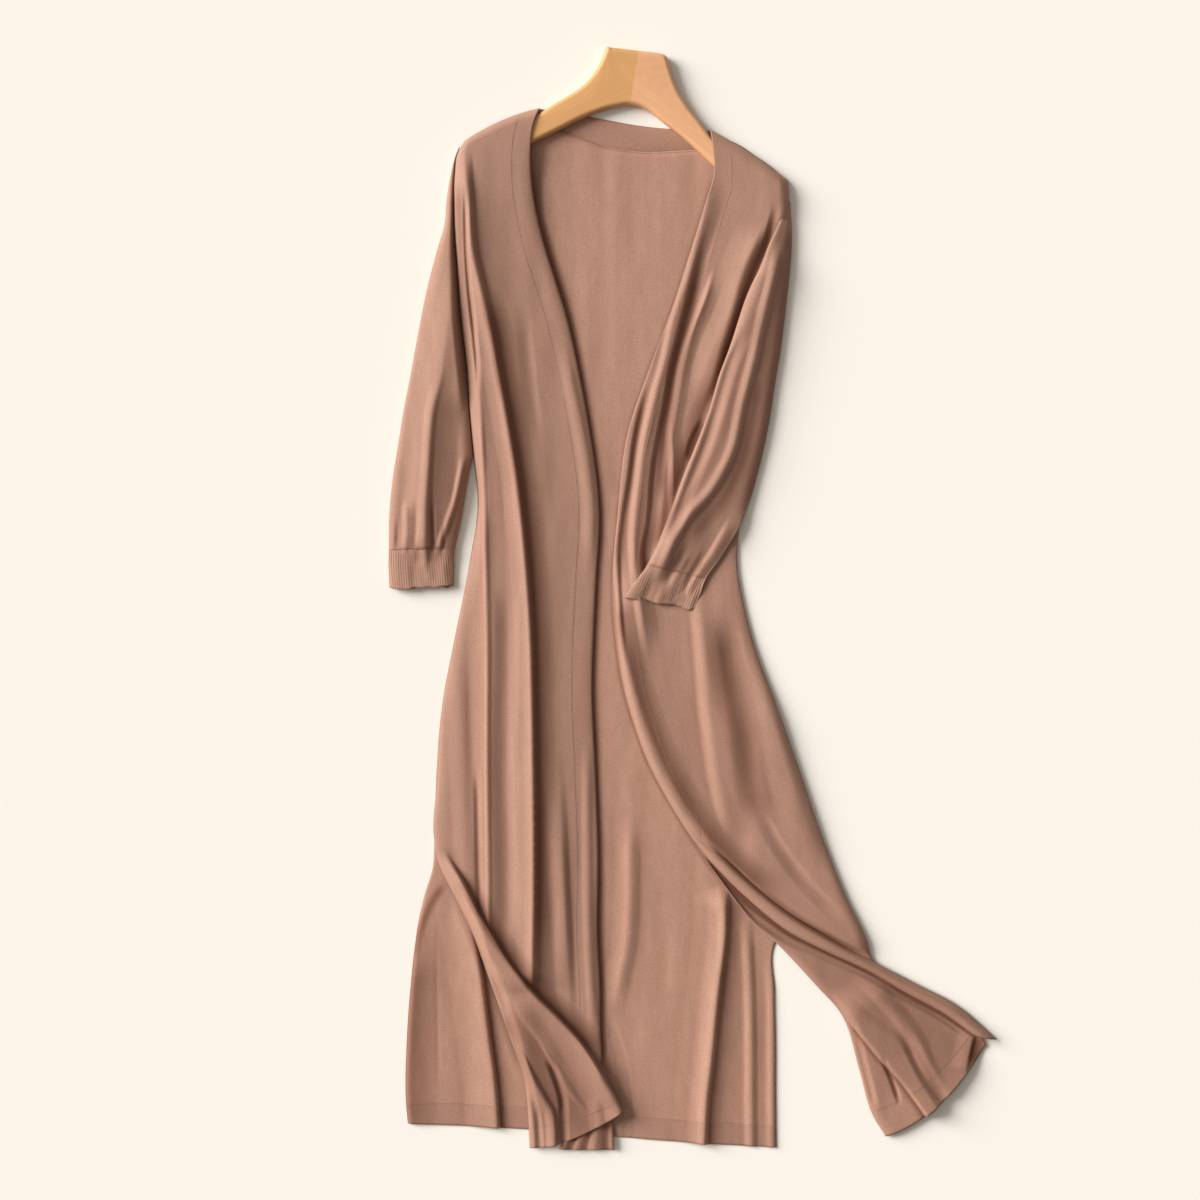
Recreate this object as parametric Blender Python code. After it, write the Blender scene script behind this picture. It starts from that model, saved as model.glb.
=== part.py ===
# A long open-front cardigan of fine knit, laid out flat on its back round a plain wooden hanger.
# The tables are in millimetres. +X is the wearer's left, +Y is towards the neck, +Z is up off the floor.
# Each cloth piece is a wall of even thickness about a middle surface, with a narrow gap at each seam.

from collections import namedtuple

import bmesh
import bpy
import numpy as np

MM = 0.001
WALL = 1.5  # thickness of the knit
GAP = 0.3  # space between two pieces at a seam
FLOOR = WALL / 2  # middle of a wall that lies on the floor
SEAT = 2.8  # middle of a wall whose edge lies on the back panel
BAND = 22.0  # width of the band round the neck and fronts
HEM = 23.0  # depth of the hem
BODY_ROLL = 14.0  # how far in from an edge the cloth has risen to its full height
SHOULDER_ROLL = 13.0
SLEEVE_ROLL = 12.0
HANGER_THICKNESS = 11.5
HANGER_BEVEL = 3.5
ARMHOLE_GAP = WALL + GAP  # between the middles of two walls that turn down face to face
SHOULDER_ROW = 30.0  # length of cloth from the shoulder seam to the next table row
RIBBON_FALL = 1.5  # how far the sides of the band lie below its middle where it crosses the panel
PARTING_ROWS = 1.4  # length in table rows of the slanting end of the seam between the two
LEAST_STEP = 0.2  # in table rows, from the last section of a panel to its hem
# Where a front and its band have points across their width, closest together at the rolled side edge.
PANEL_STOPS = (0, 0.015, 0.045, 0.09, 0.16, 0.24, 0.32, 0.40, 0.48, 0.56, 0.65, 0.74, 0.83, 0.92, 1)
BAND_STOPS = (0, 0.2, 0.5, 0.8, 1)
FOLD_FADE = 60.0  # length over which a fold rises and dies away at its ends
FOLD_SAMPLES = 60
STEP = 0.004  # part of a table row, or of a width, over which slopes are measured

KNIT = (0.46, 0.27, 0.20)
RIB = (0.43, 0.25, 0.18)
WOOD = (0.66, 0.38, 0.16)

# One row for each height down the side of a front: the armhole first, then the side seam, then the slit.
Side = namedtuple("Side", "y x z")
RIGHT_SIDE = (
    Side(514, -257, SEAT),
    Side(500, -264, 4.0),
    Side(478, -267, 5.0),
    Side(430, -268, 6.5),
    Side(370, -264, 6.5),
    Side(312, -260, 6.5),
    Side(262, -254, 6.5),
    Side(205, -250, 6.0),
    Side(160, -246, 4.0),
    Side(107, -241, SEAT),
    Side(44, -250, SEAT),
    Side(-40, -266, SEAT),
    Side(-120, -281, SEAT),
    Side(-204, -287, SEAT),
    Side(-270, -291, SEAT),
    Side(-300, -286, 3.2),
    Side(-330, -272, 4.0),
    Side(-374, -250, 5.0),
    Side(-437, -226, 5.0),
    Side(-496, -205, 5.0),
    Side(-540, -190, 5.0),
    Side(-580, -185, 5.0),
    Side(-620, -183, 4.0),
)
LEFT_SIDE = (
    Side(470, 107, SEAT),
    Side(440, 108, 4.0),
    Side(390, 105, 4.0),
    Side(330, 97.5, 4.0),
    Side(270, 88, 4.0),
    Side(210, 78, 4.0),
    Side(150, 64, 3.4),
    Side(90, 54, SEAT),
    Side(40, 50, SEAT),
    Side(-10, 58, SEAT),
    Side(-59, 71, SEAT),
    Side(-123, 95, SEAT),
    Side(-197, 121, SEAT),
    Side(-275, 148, SEAT),
    Side(-340, 174, SEAT),
    Side(-385, 196, SEAT),
    Side(-412, 206, 3.0),
    Side(-435, 236, 3.0),
    Side(-453, 268, 3.0),
    Side(-471, 299, 3.0),
    Side(-485, 318, 3.0),
    Side(-504, 331, 3.0),
)

# One row for each section of a front, from the shoulder seam to the hem. bow curves the section downwards.
Section = namedtuple("Section", "side_y edge_x edge_y crown edge_z bow")
RIGHT_FRONT = (
    Section(514, -172, 551, 15.4, 15.4, -5),
    Section(478, -181, 521, 15.4, 15.2, -3),
    Section(430, -181, 468, 12.0, 11.0, -1),
    Section(370, -169, 405, 9.0, 7.0, 0),
    Section(290, -139, 306, 8.0, 5.0, 0),
    Section(200, -116, 190, 7.0, 4.2, 0),
    Section(110, -105, 100, 7.0, 4.0, 0),
    Section(10, -109, 10, 7.0, 4.0, 0),
    Section(-100, -113, -100, 7.0, 4.0, 0),
    Section(-200, -109, -200, 7.0, 4.0, 0),
    Section(-300, -106, -290, 7.0, 4.0, 0),
    Section(-374, -107, -374, 7.5, 4.0, 0),
    Section(-437, -104, -437, 8.0, 4.0, 0),
    Section(-496, -101, -496, 8.5, 4.5, 0),
    Section(-540, -91, -543, 9.5, 8.5, 0),
    Section(-580, -82, -560, 9.5, 9.0, 3),
    Section(-620, -80, -577, 8.5, 9.0, 10),
)
LEFT_FRONT = (
    Section(470, 20, 527, 15.4, 15.4, -3),
    Section(432, 24, 479, 15.0, 15.4, -2),
    Section(390, 16, 448, 9.0, 12.0, 0),
    Section(330, -2, 390, 6.5, 8.0, 0),
    Section(270, -23, 325, 5.5, 6.0, 0),
    Section(210, -49, 256, 5.5, 5.0, 0),
    Section(150, -74, 180, 5.5, 4.5, 0),
    Section(90, -84, 94, 5.5, 4.0, 0),
    Section(20, -90, 15, 5.5, 4.0, 0),
    Section(-59, -85, -62, 7.0, 4.0, 0),
    Section(-123, -74, -118, 8.0, 4.0, 0),
    Section(-197, -50, -187, 8.0, 4.0, 0),
    Section(-275, -14, -251, 8.5, 4.0, 0),
    Section(-340, 19, -300, 9.0, 4.5, 0),
    Section(-385, 62, -358, 9.0, 4.5, 0),
    Section(-412, 100, -394, 9.5, 4.5, 0),
    Section(-435, 140, -437, 9.5, 4.0, 0),
    Section(-453, 171, -474, 9.5, 3.5, 2),
    Section(-471, 188, -530, 9.0, 3.0, 9),
    Section(-485, 201, -577, 9.0, 2.6, 14),
    Section(-504, 218, -607, 9.0, 2.6, 18),
)
# The lower part of a front's band leaves the panel's edge. The right one hangs straight down under the
# panel's corner, and the left one crosses over its panel to the swung-out corner. One row for each row of
# the tables above, from RIGHT_CROSSING or LEFT_CROSSING on: its seam side, then its free side.
Ribbon = namedtuple("Ribbon", "seam_x seam_y free_x free_y z")
RIGHT_CROSSING = 12
RIGHT_RIBBON = (
    Ribbon(-125.5, -437, -104, -437, 5.5),
    Ribbon(-123, -496, -102, -496, 5.0),
    Ribbon(-122, -541, -98, -541, 4.5),
    Ribbon(-130, -581, -92, -581, 4.4),
    Ribbon(-150, -622, -88, -622, 4.4),
)
LEFT_CROSSING = 12
LEFT_RIBBON = (
    Ribbon(8, -262, -12, -254, 9.0),
    Ribbon(37, -302, 21, -303, 10.5),
    Ribbon(72, -336, 59, -343, 11.0),
    Ribbon(112, -365, 103, -378, 11.0),
    Ribbon(158, -388, 150, -401, 11.0),
    Ribbon(205, -411, 196, -424, 11.0),
    Ribbon(251, -435, 241, -450, 11.0),
    Ribbon(298, -460, 283, -473, 10.5),
    Ribbon(343, -498, 319, -498, 9.5),
)

# One row for each height down the back: its left and right edges seen from the front.
Level = namedtuple("Level", "y right_x left_x")
BACK = (
    Level(560, -259, 108),
    Level(514, -258.2, 108),
    Level(500, -265.2, 108),
    Level(478, -268.2, 108),
    Level(430, -269.2, 109),
    Level(370, -265.2, 104.5),
    Level(312, -261.2, 95),
    Level(262, -255.2, 88),
    Level(205, -251.2, 78),
    Level(160, -247, 67),
    Level(107, -242, 57),
    Level(44, -250, 49),
    Level(-40, -267, 65),
    Level(-120, -282, 92),
    Level(-204, -289, 122),
    Level(-275, -291, 146),
    Level(-305, -293, 151),
    Level(-335, -302, 137),
    Level(-362, -308, 112),
    Level(-389, -312, 94),
    Level(-445, -318, 93),
    Level(-506, -322, 94),
    Level(-562, -323, 94),
    Level(-630, -316, 95),
)

# The top edge of the back panel: shoulder seam, seam of the neck band, shoulder seam.
Point = namedtuple("Point", "x y")
BACK_TOP = (
    Point(-262, 510),
    Point(-240, 525),
    Point(-204, 539),
    Point(-172, 533),
    Point(-145, 525),
    Point(-120, 516),
    Point(-95, 508),
    Point(-59, 503),
    Point(-16, 504),
    Point(25, 508),
    Point(47, 512),
    Point(68, 500),
    Point(88, 486),
    Point(107, 469),
)
BACK_HEM = (
    Point(-323, -593),
    Point(-235, -597),
    Point(-184, -600),
    Point(-78, -609),
    Point(22, -616),
    Point(95, -620),
)
NECK_EDGE = (
    Point(-172, 551),
    Point(-149, 548),
    Point(-110, 541),
    Point(-66, 533),
    Point(-32, 529),
    Point(-3, 528),
    Point(20, 526),
)
# Where the neck band meets the shoulder seams, as parts of the width of the back.
NECK_RIGHT = 0.172
NECK_LEFT = 0.845

# One row for each section of a sleeve, from the armhole to the end of the cuff. start_z is where the
# section starts at the seam, inner_z is its fold nearest the body, under_z and end_z its hidden layer.
# seam is the least distance from the outer fold to the seam of the hidden layer.
Cut = namedtuple("Cut", "outer_x outer_y inner_x inner_y start_z top_z inner_z under_z end_z seam")
RIGHT_SLEEVE = (
    Cut(-272.5, 488, -260, 488, FLOOR, 6.5, 5.0, 0, 0, 0),
    Cut(-276.0, 452, -260, 452, FLOOR, 9.5, 6.0, 0, 0, 0),
    Cut(-279.0, 420, -260, 420, FLOOR, 11.0, 6.5, 0, 0, 0),
    Cut(-288.0, 388, -258, 388, FLOOR, 12.0, 6.5, 0, 0, 0),
    Cut(-299.0, 345, -258, 345, FLOOR, 12.0, 6.5, 0, 0, 0),
    Cut(-308.0, 300, -252, 300, FLOOR, 12.0, 6.5, 0, 0, 0),
    Cut(-316.0, 256, -250, 256, FLOOR, 12.0, 6.5, 0, 0, 0),
    Cut(-324.5, 212, -246, 212, FLOOR, 12.0, 6.0, 0, 0, 0),
    Cut(-331.0, 172, -246, 172, FLOOR, 12.0, 4.5, 0, 0, 0),
    Cut(-337.0, 135, -253, 135, FLOOR, 12.0, SEAT, 0, 0, 0),
    Cut(-341.0, 93, -260, 93, FLOOR, 11.5, SEAT, 0, 0, 0),
    Cut(-341.5, 54, -268, 54, FLOOR, 10.0, SEAT, 0, 0, 0),
    Cut(-342.0, 33, -269, 35, FLOOR, 9.0, SEAT, 0, 0, 0),
    Cut(-341.0, 10, -269, 13, FLOOR, 9.0, SEAT, 0, 0, 0),
)
LEFT_SLEEVE = (
    Cut(115.5, 450, 109.5, 450, FLOOR, 8.5, 6.0, 6.0, 6.0, 4),
    Cut(115.5, 415, 108.5, 412, FLOOR, 12.0, 9.5, 9.5, 6.5, 4),
    Cut(113.0, 394, 95.0, 392, FLOOR, 18.0, 15.0, 12.0, 6.5, 4),
    Cut(111.0, 372, 80.0, 371, FLOOR, 17.5, 13.5, 10.0, 6.2, 4),
    Cut(106.0, 335, 65.0, 336, FLOOR, 17.5, 13.0, 9.0, 6.2, 4),
    Cut(99.0, 281, 47.0, 284, FLOOR, 17.5, 12.5, 8.0, 6.2, 4),
    Cut(93.0, 242, 32.0, 249, FLOOR, 17.5, 12.5, 8.0, 6.2, 4),
    Cut(87.0, 202, 19.0, 211, FLOOR, 17.5, 12.5, 8.0, 6.2, 4),
    Cut(79.0, 163, 6.0, 176, FLOOR, 17.5, 12.5, 8.0, 6.0, 4),
    Cut(69.0, 124, -10.0, 137, FLOOR, 17.5, 12.5, 8.0, 6.0, 4),
    Cut(61.0, 101, -17.0, 118, 3.8, 17.5, 12.5, 8.0, 7.0, 4),
    Cut(52.0, 79, -24.0, 98, 8.0, 17.5, 12.5, 8.0, 8.0, 9),
    Cut(34.0, 49, -38.0, 62, 8.0, 17.0, 12.5, 8.0, 8.0, 14),
    Cut(15.0, 21, -51.0, 36, 8.0, 15.0, 11.5, 8.0, 8.0, 14),
    Cut(9.0, 5, -63.0, 19, 8.0, 14.5, 11.2, 8.0, 8.0, 14),
    Cut(2.0, -13, -76.0, 1, 8.0, 14.5, 11.2, 8.0, 8.0, 14),
)
RIGHT_HEM_ROW = 15.45
RIGHT_PARTING = 12.9
LEFT_HEM_ROW = 19.1
LEFT_PARTING = 12.6
RIGHT_CUFF_ROW = 11.0
LEFT_CUFF_ROW = 13.0

# The largest folds, each along a path from the neck end to the hem end. left and right are its widths
# on the wearer's left and right of that path, where it has fallen away to nothing.
Fold = namedtuple("Fold", "path height left right")
RIGHT_FRONT_FOLDS = (
    Fold(((-254, 467), (-245, 380), (-226, 274), (-201, 152), (-189, 20), (-184, -118), (-183, -250),
          (-186, -400), (-176, -450)), 6.5, 10, 50),
    Fold(((-246, 312), (-241, 152), (-236, 60), (-230, -120), (-229, -270), (-224, -390)), 4.5, 45, 12),
    Fold(((-150, 60), (-147, -200), (-143, -480)), 2.5, 22, 26),
    Fold(((-280, -290), (-256, -330), (-236, -378), (-214, -415), (-186, -453), (-157, -483),
          (-128, -514), (-100, -548), (-84, -590), (-84, -690)), 5.0, 8, 40),
)
LEFT_FRONT_FOLDS = (
    Fold(((8, 370), (-17, 290), (-38, 205), (-58, 125), (-66, 40)), 2.5, 14, 14),
    Fold(((8, -20), (16, -71), (22, -140), (36, -210), (60, -270)), 4.5, 22, 26),
    Fold(((-40, -250), (20, -296), (66, -340), (107, -371), (154, -395), (200, -418), (246, -443),
          (291, -468), (332, -500), (420, -560)), -5.5, 20, 20),
    Fold(((170, -462), (215, -516), (238, -548), (268, -590)), 4.5, 20, 14),
)
BACK_FOLDS = (
    Fold(((34, -345), (31, -408), (22, -500), (13, -640)), 6.0, 12, 24),
    Fold(((-296, -366), (-296, -460), (-292, -600)), 3.0, 12, 16),
    Fold(((-236, -400), (-230, -493), (-216, -620)), 4.0, 10, 26),
)

# The hanger's outline, anticlockwise from the left end of its top edge as it lies.
HANGER = (
    Point(-97, 619), Point(-102, 606), Point(-110, 591), Point(-122, 577), Point(-137, 566),
    Point(-154, 556), Point(-168, 547), Point(-184, 537), Point(-205, 526), Point(-232, 511),
    Point(-244, 502), Point(-249, 492), Point(-244, 484), Point(-234, 482), Point(-208, 500),
    Point(-179, 512), Point(-152, 525), Point(-124, 539), Point(-104, 547), Point(-86, 552),
    Point(-67, 554), Point(-50, 548), Point(-32, 534), Point(-8, 515), Point(21, 488),
    Point(44, 468), Point(60, 455), Point(71, 450), Point(79, 453), Point(82, 461),
    Point(78, 470), Point(62, 485), Point(42, 499), Point(24, 514), Point(8, 535),
    Point(-6, 553), Point(-17, 572), Point(-25, 594), Point(-30, 609), Point(-34, 612),
)


def follow(places, values, at):
    """Value at each place in at, on a smooth curve through a table's column."""
    places = np.asarray(places, float)
    values = np.asarray(values, float)
    if places[0] > places[-1]:
        places, values = places[::-1], values[::-1]
    slopes = np.gradient(values, places)
    at = np.clip(at, places[0], places[-1])
    row = np.clip(np.searchsorted(places, at, side="right") - 1, 0, len(places) - 2)
    gap = places[row + 1] - places[row]
    part = (at - places[row]) / gap
    rise = part * part * (3 - 2 * part)
    start = part * (1 - part) ** 2 * gap * slopes[row]
    end = part * part * (part - 1) * gap * slopes[row + 1]
    return values[row] * (1 - rise) + values[row + 1] * rise + start + end


def down(table, column, at):
    """Value of a column at fractional row numbers."""
    return follow(np.arange(len(table)), [getattr(row, column) for row in table], at)


def at_height(table, column, y):
    """Value of a column of a table whose rows go down by y."""
    return follow([row.y for row in table], [getattr(row, column) for row in table], y)


def drop(distance, roll):
    """How far the cloth has fallen at a distance from its edge: 1 at the edge, 0 past the roll."""
    inside = np.clip(distance / roll, 0, 1)
    return 1 - np.sqrt(1 - (1 - inside) ** 2)


def fold_height(folds, x, y):
    """Height that the folds add at each point."""
    total = np.zeros_like(x)
    for fold in folds:
        path = np.array(fold.path, float)
        rows = np.arange(len(path))
        at = np.linspace(0, len(path) - 1, FOLD_SAMPLES)
        px = follow(rows, path[:, 0], at)
        py = follow(rows, path[:, 1], at)
        step = np.hypot(np.gradient(px), np.gradient(py))
        run = np.cumsum(step)
        nearest = np.hypot(x[..., None] - px, y[..., None] - py).argmin(axis=-1)
        tx = (np.gradient(px) / step)[nearest]
        ty = (np.gradient(py) / step)[nearest]
        beside = tx * (y - py[nearest]) - ty * (x - px[nearest])
        width = np.where(beside > 0, fold.left, fold.right)
        inside = np.clip(np.abs(beside) / width, 0, 1)
        along = run[nearest] + tx * (x - px[nearest]) + ty * (y - py[nearest])
        fade = np.clip(np.minimum(along, run[-1] - along) / FOLD_FADE, 0, 1)
        total += fold.height * fade * np.cos(inside * np.pi / 2) ** 2
    return total


def ease(value):
    """A smooth rise from 0 at 0 to 1 at 1."""
    inside = np.clip(value, 0, 1)
    return inside * inside * (3 - 2 * inside)


def front(side, sections, folds):
    """Middle surface of a front: s counts table rows down from the shoulder, t goes from side to edge."""

    def surface(s, t):
        side_y = down(sections, "side_y", s)
        side_x = at_height(side, "x", side_y)
        side_z = at_height(side, "z", side_y)
        edge_x = down(sections, "edge_x", s)
        edge_y = down(sections, "edge_y", s)
        edge_z = down(sections, "edge_z", s)
        crown = down(sections, "crown", s)
        width = np.hypot(edge_x - side_x, edge_y - side_y)
        x = side_x + (edge_x - side_x) * t
        y = side_y + (edge_y - side_y) * t - down(sections, "bow", s) * 4 * t * (1 - t)
        at_side = drop(t * width, BODY_ROLL)
        at_edge = drop((1 - t) * width, BODY_ROLL)
        raised = fold_height(folds, x, y) * (1 - at_side) * (1 - at_edge)
        z = crown - (crown - side_z) * at_side - (crown - edge_z) * at_edge + raised
        z = z - (z - SEAT) * drop(s * SHOULDER_ROW, SHOULDER_ROLL)
        return np.stack([x, y, z], axis=-1)

    return surface


def front_width(side, sections, s):
    """Width of a front at fractional row numbers."""
    side_y = down(sections, "side_y", s)
    side_x = at_height(side, "x", side_y)
    return np.hypot(down(sections, "edge_x", s) - side_x, down(sections, "edge_y", s) - side_y)


def back(s, t):
    """Middle surface of the back: s goes from its top edge to its hem, t from the right side to the left."""
    top_x = BACK_TOP[0].x + (BACK_TOP[-1].x - BACK_TOP[0].x) * t
    top_y = follow([point.x for point in BACK_TOP], [point.y for point in BACK_TOP], top_x)
    hem_x = BACK_HEM[0].x + (BACK_HEM[-1].x - BACK_HEM[0].x) * t
    hem_y = follow([point.x for point in BACK_HEM], [point.y for point in BACK_HEM], hem_x)
    y = top_y + (hem_y - top_y) * s
    right_x = at_height(BACK, "right_x", y)
    left_x = at_height(BACK, "left_x", y)
    x = right_x + (left_x - right_x) * t
    return np.stack([x, y, FLOOR + fold_height(BACK_FOLDS, x, y)], axis=-1)


def neck_band(s, t):
    """Middle surface of the back neck band: s goes from its free edge to its seam, t along it."""
    rows = np.arange(len(NECK_EDGE))
    along = (t - NECK_RIGHT) / (NECK_LEFT - NECK_RIGHT) * (len(NECK_EDGE) - 1)
    edge_x = follow(rows, [point.x for point in NECK_EDGE], along)
    edge_y = follow(rows, [point.y for point in NECK_EDGE], along)
    seam = back(np.zeros_like(t), t)
    x = edge_x + (seam[..., 0] - edge_x) * s
    y = edge_y + (seam[..., 1] + GAP - edge_y) * s
    return np.stack([x, y, np.full_like(x, FLOOR)], axis=-1)


def sleeve(cuts, side, folded_over):
    """Middle surface of a sleeve: s counts table rows down, t goes once round from seam to seam."""

    def surface(s, t):
        outer_x = down(cuts, "outer_x", s)
        outer_y = down(cuts, "outer_y", s)
        inner_x = down(cuts, "inner_x", s)
        inner_y = down(cuts, "inner_y", s)
        start_z = down(cuts, "start_z", s)
        top_z = down(cuts, "top_z", s)
        inner_z = down(cuts, "inner_z", s)
        outer_z = (start_z + top_z) / 2
        if folded_over:
            width = outer_x - inner_x
            seam_x = at_height(side, "x", outer_y) + ARMHOLE_GAP
            seam_y = outer_y + (inner_y - outer_y) * (outer_x - seam_x) / width
            seam_x = at_height(side, "x", seam_y) + ARMHOLE_GAP
            least = down(cuts, "seam", s)
            seam = np.clip(outer_x - seam_x, least, width) / width
            first = -np.arccos(np.clip(1 - 2 * (seam - GAP / width), -1, 1))
            last = 2 * np.pi - np.arccos(1 - 2 * seam)
        else:
            inner_x = np.minimum(inner_x, at_height(side, "x", inner_y) - ARMHOLE_GAP)
            width = inner_x - outer_x
            seam = np.ones_like(s)
            first = np.full_like(s, -np.pi)
            last = np.full_like(s, np.pi)
        turn = first + (last - first) * t
        part = (1 - np.cos(turn)) / 2
        roll = np.minimum(SLEEVE_ROLL, 0.45 * width)
        at_outer = drop(part * width, roll)
        at_inner = drop((1 - part) * width, roll)
        at_seam = drop((part - seam) * width, roll)
        under_z = down(cuts, "under_z", s)
        end_z = down(cuts, "end_z", s)
        start = start_z + (outer_z - start_z) * at_outer
        top = top_z - (top_z - outer_z) * at_outer - (top_z - inner_z) * at_inner
        under = under_z + (inner_z - under_z) * at_inner + (end_z - under_z) * at_seam
        z = np.where(turn < 0, start, np.where(turn <= np.pi, top, under))
        x = outer_x + (inner_x - outer_x) * part
        y = outer_y + (inner_y - outer_y) * part
        return np.stack([x, y, z], axis=-1)

    return surface


def finish(name, colour, roughness):
    """A plain material."""
    material = bpy.data.materials.new(name)
    material.use_nodes = True
    shader = material.node_tree.nodes["Principled BSDF"]
    shader.inputs["Base Color"].default_value = (*colour, 1.0)
    shader.inputs["Roughness"].default_value = roughness
    shader.inputs["Metallic"].default_value = 0.0
    return material


def add_object(name, points, faces, material):
    """A closed mesh object with its faces outwards. The points are in millimetres."""
    mesh = bpy.data.meshes.new(name)
    mesh.from_pydata((np.asarray(points) * MM).tolist(), [], faces)
    work = bmesh.new()
    work.from_mesh(mesh)
    bmesh.ops.recalc_face_normals(work, faces=work.faces)
    work.to_mesh(mesh)
    work.free()
    mesh.materials.append(material)
    mesh.shade_smooth()
    mesh.set_sharp_from_angle(angle=np.radians(40))
    obj = bpy.data.objects.new(name, mesh)
    bpy.context.scene.collection.objects.link(obj)
    return obj


def wall(name, surface, s, t, material, last_row):
    """A wall about the grid of points that a surface has at s and t."""
    middle = surface(s, t)
    down_slope = surface(np.clip(s + STEP, 0, last_row), t) - surface(np.clip(s - STEP, 0, last_row), t)
    across_slope = surface(s, np.clip(t + STEP, 0, 1)) - surface(s, np.clip(t - STEP, 0, 1))
    normal = np.cross(down_slope, across_slope)
    normal /= np.linalg.norm(normal, axis=-1, keepdims=True)
    rows, columns = s.shape
    above = (middle + normal * WALL / 2).reshape(-1, 3)
    below = (middle - normal * WALL / 2).reshape(-1, 3)
    size = rows * columns
    faces = []
    for row in range(rows - 1):
        for column in range(columns - 1):
            a = row * columns + column
            b, c, d = a + columns, a + columns + 1, a + 1
            faces += [(a, b, c), (a, c, d), (c + size, b + size, a + size), (d + size, c + size, a + size)]
    rim = list(range(columns))
    rim += [row * columns + columns - 1 for row in range(1, rows)]
    rim += [(rows - 1) * columns + column for column in range(columns - 2, -1, -1)]
    rim += [row * columns for row in range(rows - 2, 0, -1)]
    for a, b in zip(rim, rim[1:] + rim[:1]):
        if a < b:
            faces += [(a, b, b + size), (a, b + size, a + size)]
        else:
            faces += [(a, b, a + size), (b, b + size, a + size)]
    return add_object(name, np.concatenate([above, below]), faces, material)


def patch(rows, columns, first_row=0.0, last_row=1.0, first_column=0.0, last_column=1.0):
    """Grid of s and t. rows and columns are fractions, and a limit may vary along the other one."""
    rows = np.asarray(rows, float)[:, None]
    columns = np.asarray(columns, float)[None, :]
    s = first_row + (last_row - first_row) * rows + 0 * columns
    t = first_column + (last_column - first_column) * columns + 0 * s
    return s, t


def graded(*stretches):
    """Rising numbers: each stretch is where it starts, where it ends and how many steps it has."""
    numbers = [np.linspace(start, end, steps + 1)[:-1] for start, end, steps in stretches]
    return np.concatenate(numbers + [[stretches[-1][1]]])


def band_beside(side, sections, surface):
    """Middle surface of a band along a front's edge: t goes from its seam to its free edge."""

    def band(s, t):
        width = front_width(side, sections, s)
        return surface(s, 1 - (BAND - GAP / 2) / width * (1 - t))

    return band


def band_across(beside, ribbon, crossing):
    """Middle surface of a band that is beside its panel down to the row crossing, then follows a ribbon."""

    def band(s, t):
        row = s - crossing
        seam_x = down(ribbon, "seam_x", row)
        seam_y = down(ribbon, "seam_y", row)
        x = seam_x + (down(ribbon, "free_x", row) - seam_x) * t
        y = seam_y + (down(ribbon, "free_y", row) - seam_y) * t
        z = down(ribbon, "z", row) - RIBBON_FALL * (2 * t - 1) ** 2
        over = ease(row)[..., None]
        return beside(s, t) * (1 - over) + np.stack([x, y, z], axis=-1) * over

    return band


def add_front(name, shape, band, hem_row, parting, rows, knit, rib):
    """The panel, band and hem of one front. Below the row parting, panel and band lie on each other."""
    side, sections, surface = shape
    last_row = len(sections) - 1
    gap_row = GAP / 2 / SHOULDER_ROW
    above = rows[rows < hem_row - LEAST_STEP]
    body_rows = np.append(above, hem_row - gap_row)
    hem_rows = np.array([hem_row + gap_row, (hem_row + last_row) / 2, last_row])
    for piece, stops, material in ((name, body_rows, knit), (name + "_hem", hem_rows, rib)):
        s, t = patch(stops - stops[0], PANEL_STOPS, stops[0], stops[0] + 1)
        seam = 1 - (BAND + GAP / 2) / front_width(side, sections, s)
        end = seam + (1 - seam) * ease((s - parting) / PARTING_ROWS)
        wall(piece, surface, s, t * end, material, last_row)
    s, t = patch(np.concatenate([above, hem_rows]), BAND_STOPS)
    wall(name + "_band", band, s, t, rib, last_row)


def add_back(knit, rib):
    """The back panel, its hem and the band along the back neck."""
    neck = np.linspace(NECK_RIGHT, NECK_LEFT, 11)
    columns = np.concatenate([np.linspace(0, NECK_RIGHT, 4)[:-1], neck, np.linspace(NECK_LEFT, 1, 4)[1:]])
    rows = graded((0, 0.7, 14), (0.7, 0.86, 8), (0.86, 1, 4))
    ends = back(np.array([[0.0], [1.0]]), columns[None, :])
    length = ends[0, :, 1] - ends[1, :, 1]
    s, t = patch(rows, columns, 0, 1 - (HEM + GAP / 2) / length)
    wall("back", back, s, t, knit, 1)
    s, t = patch([0, 0.5, 1], columns, 1 - (HEM - GAP / 2) / length, 1)
    wall("back_hem", back, s, t, rib, 1)
    s, t = patch([0, 0.33, 0.67, 1], neck)
    wall("back_neck_band", neck_band, s, t, rib, 1)


def add_sleeve(side_name, cuts, side, folded_over, cuff_row, knit, rib):
    """A sleeve and its cuff."""
    surface = sleeve(cuts, side, folded_over)
    last_row = len(cuts) - 1
    gap_row = GAP / 2 / SHOULDER_ROW
    rows = graded((0, 2, 4), (2, cuff_row - gap_row, 14))
    turn = graded((0, 1, 18))
    s, t = patch(rows, turn)
    wall(side_name + "_sleeve", surface, s, t, knit, last_row)
    s, t = patch(graded((cuff_row + gap_row, last_row, 3)), turn)
    wall(side_name + "_cuff", surface, s, t, rib, last_row)


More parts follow.
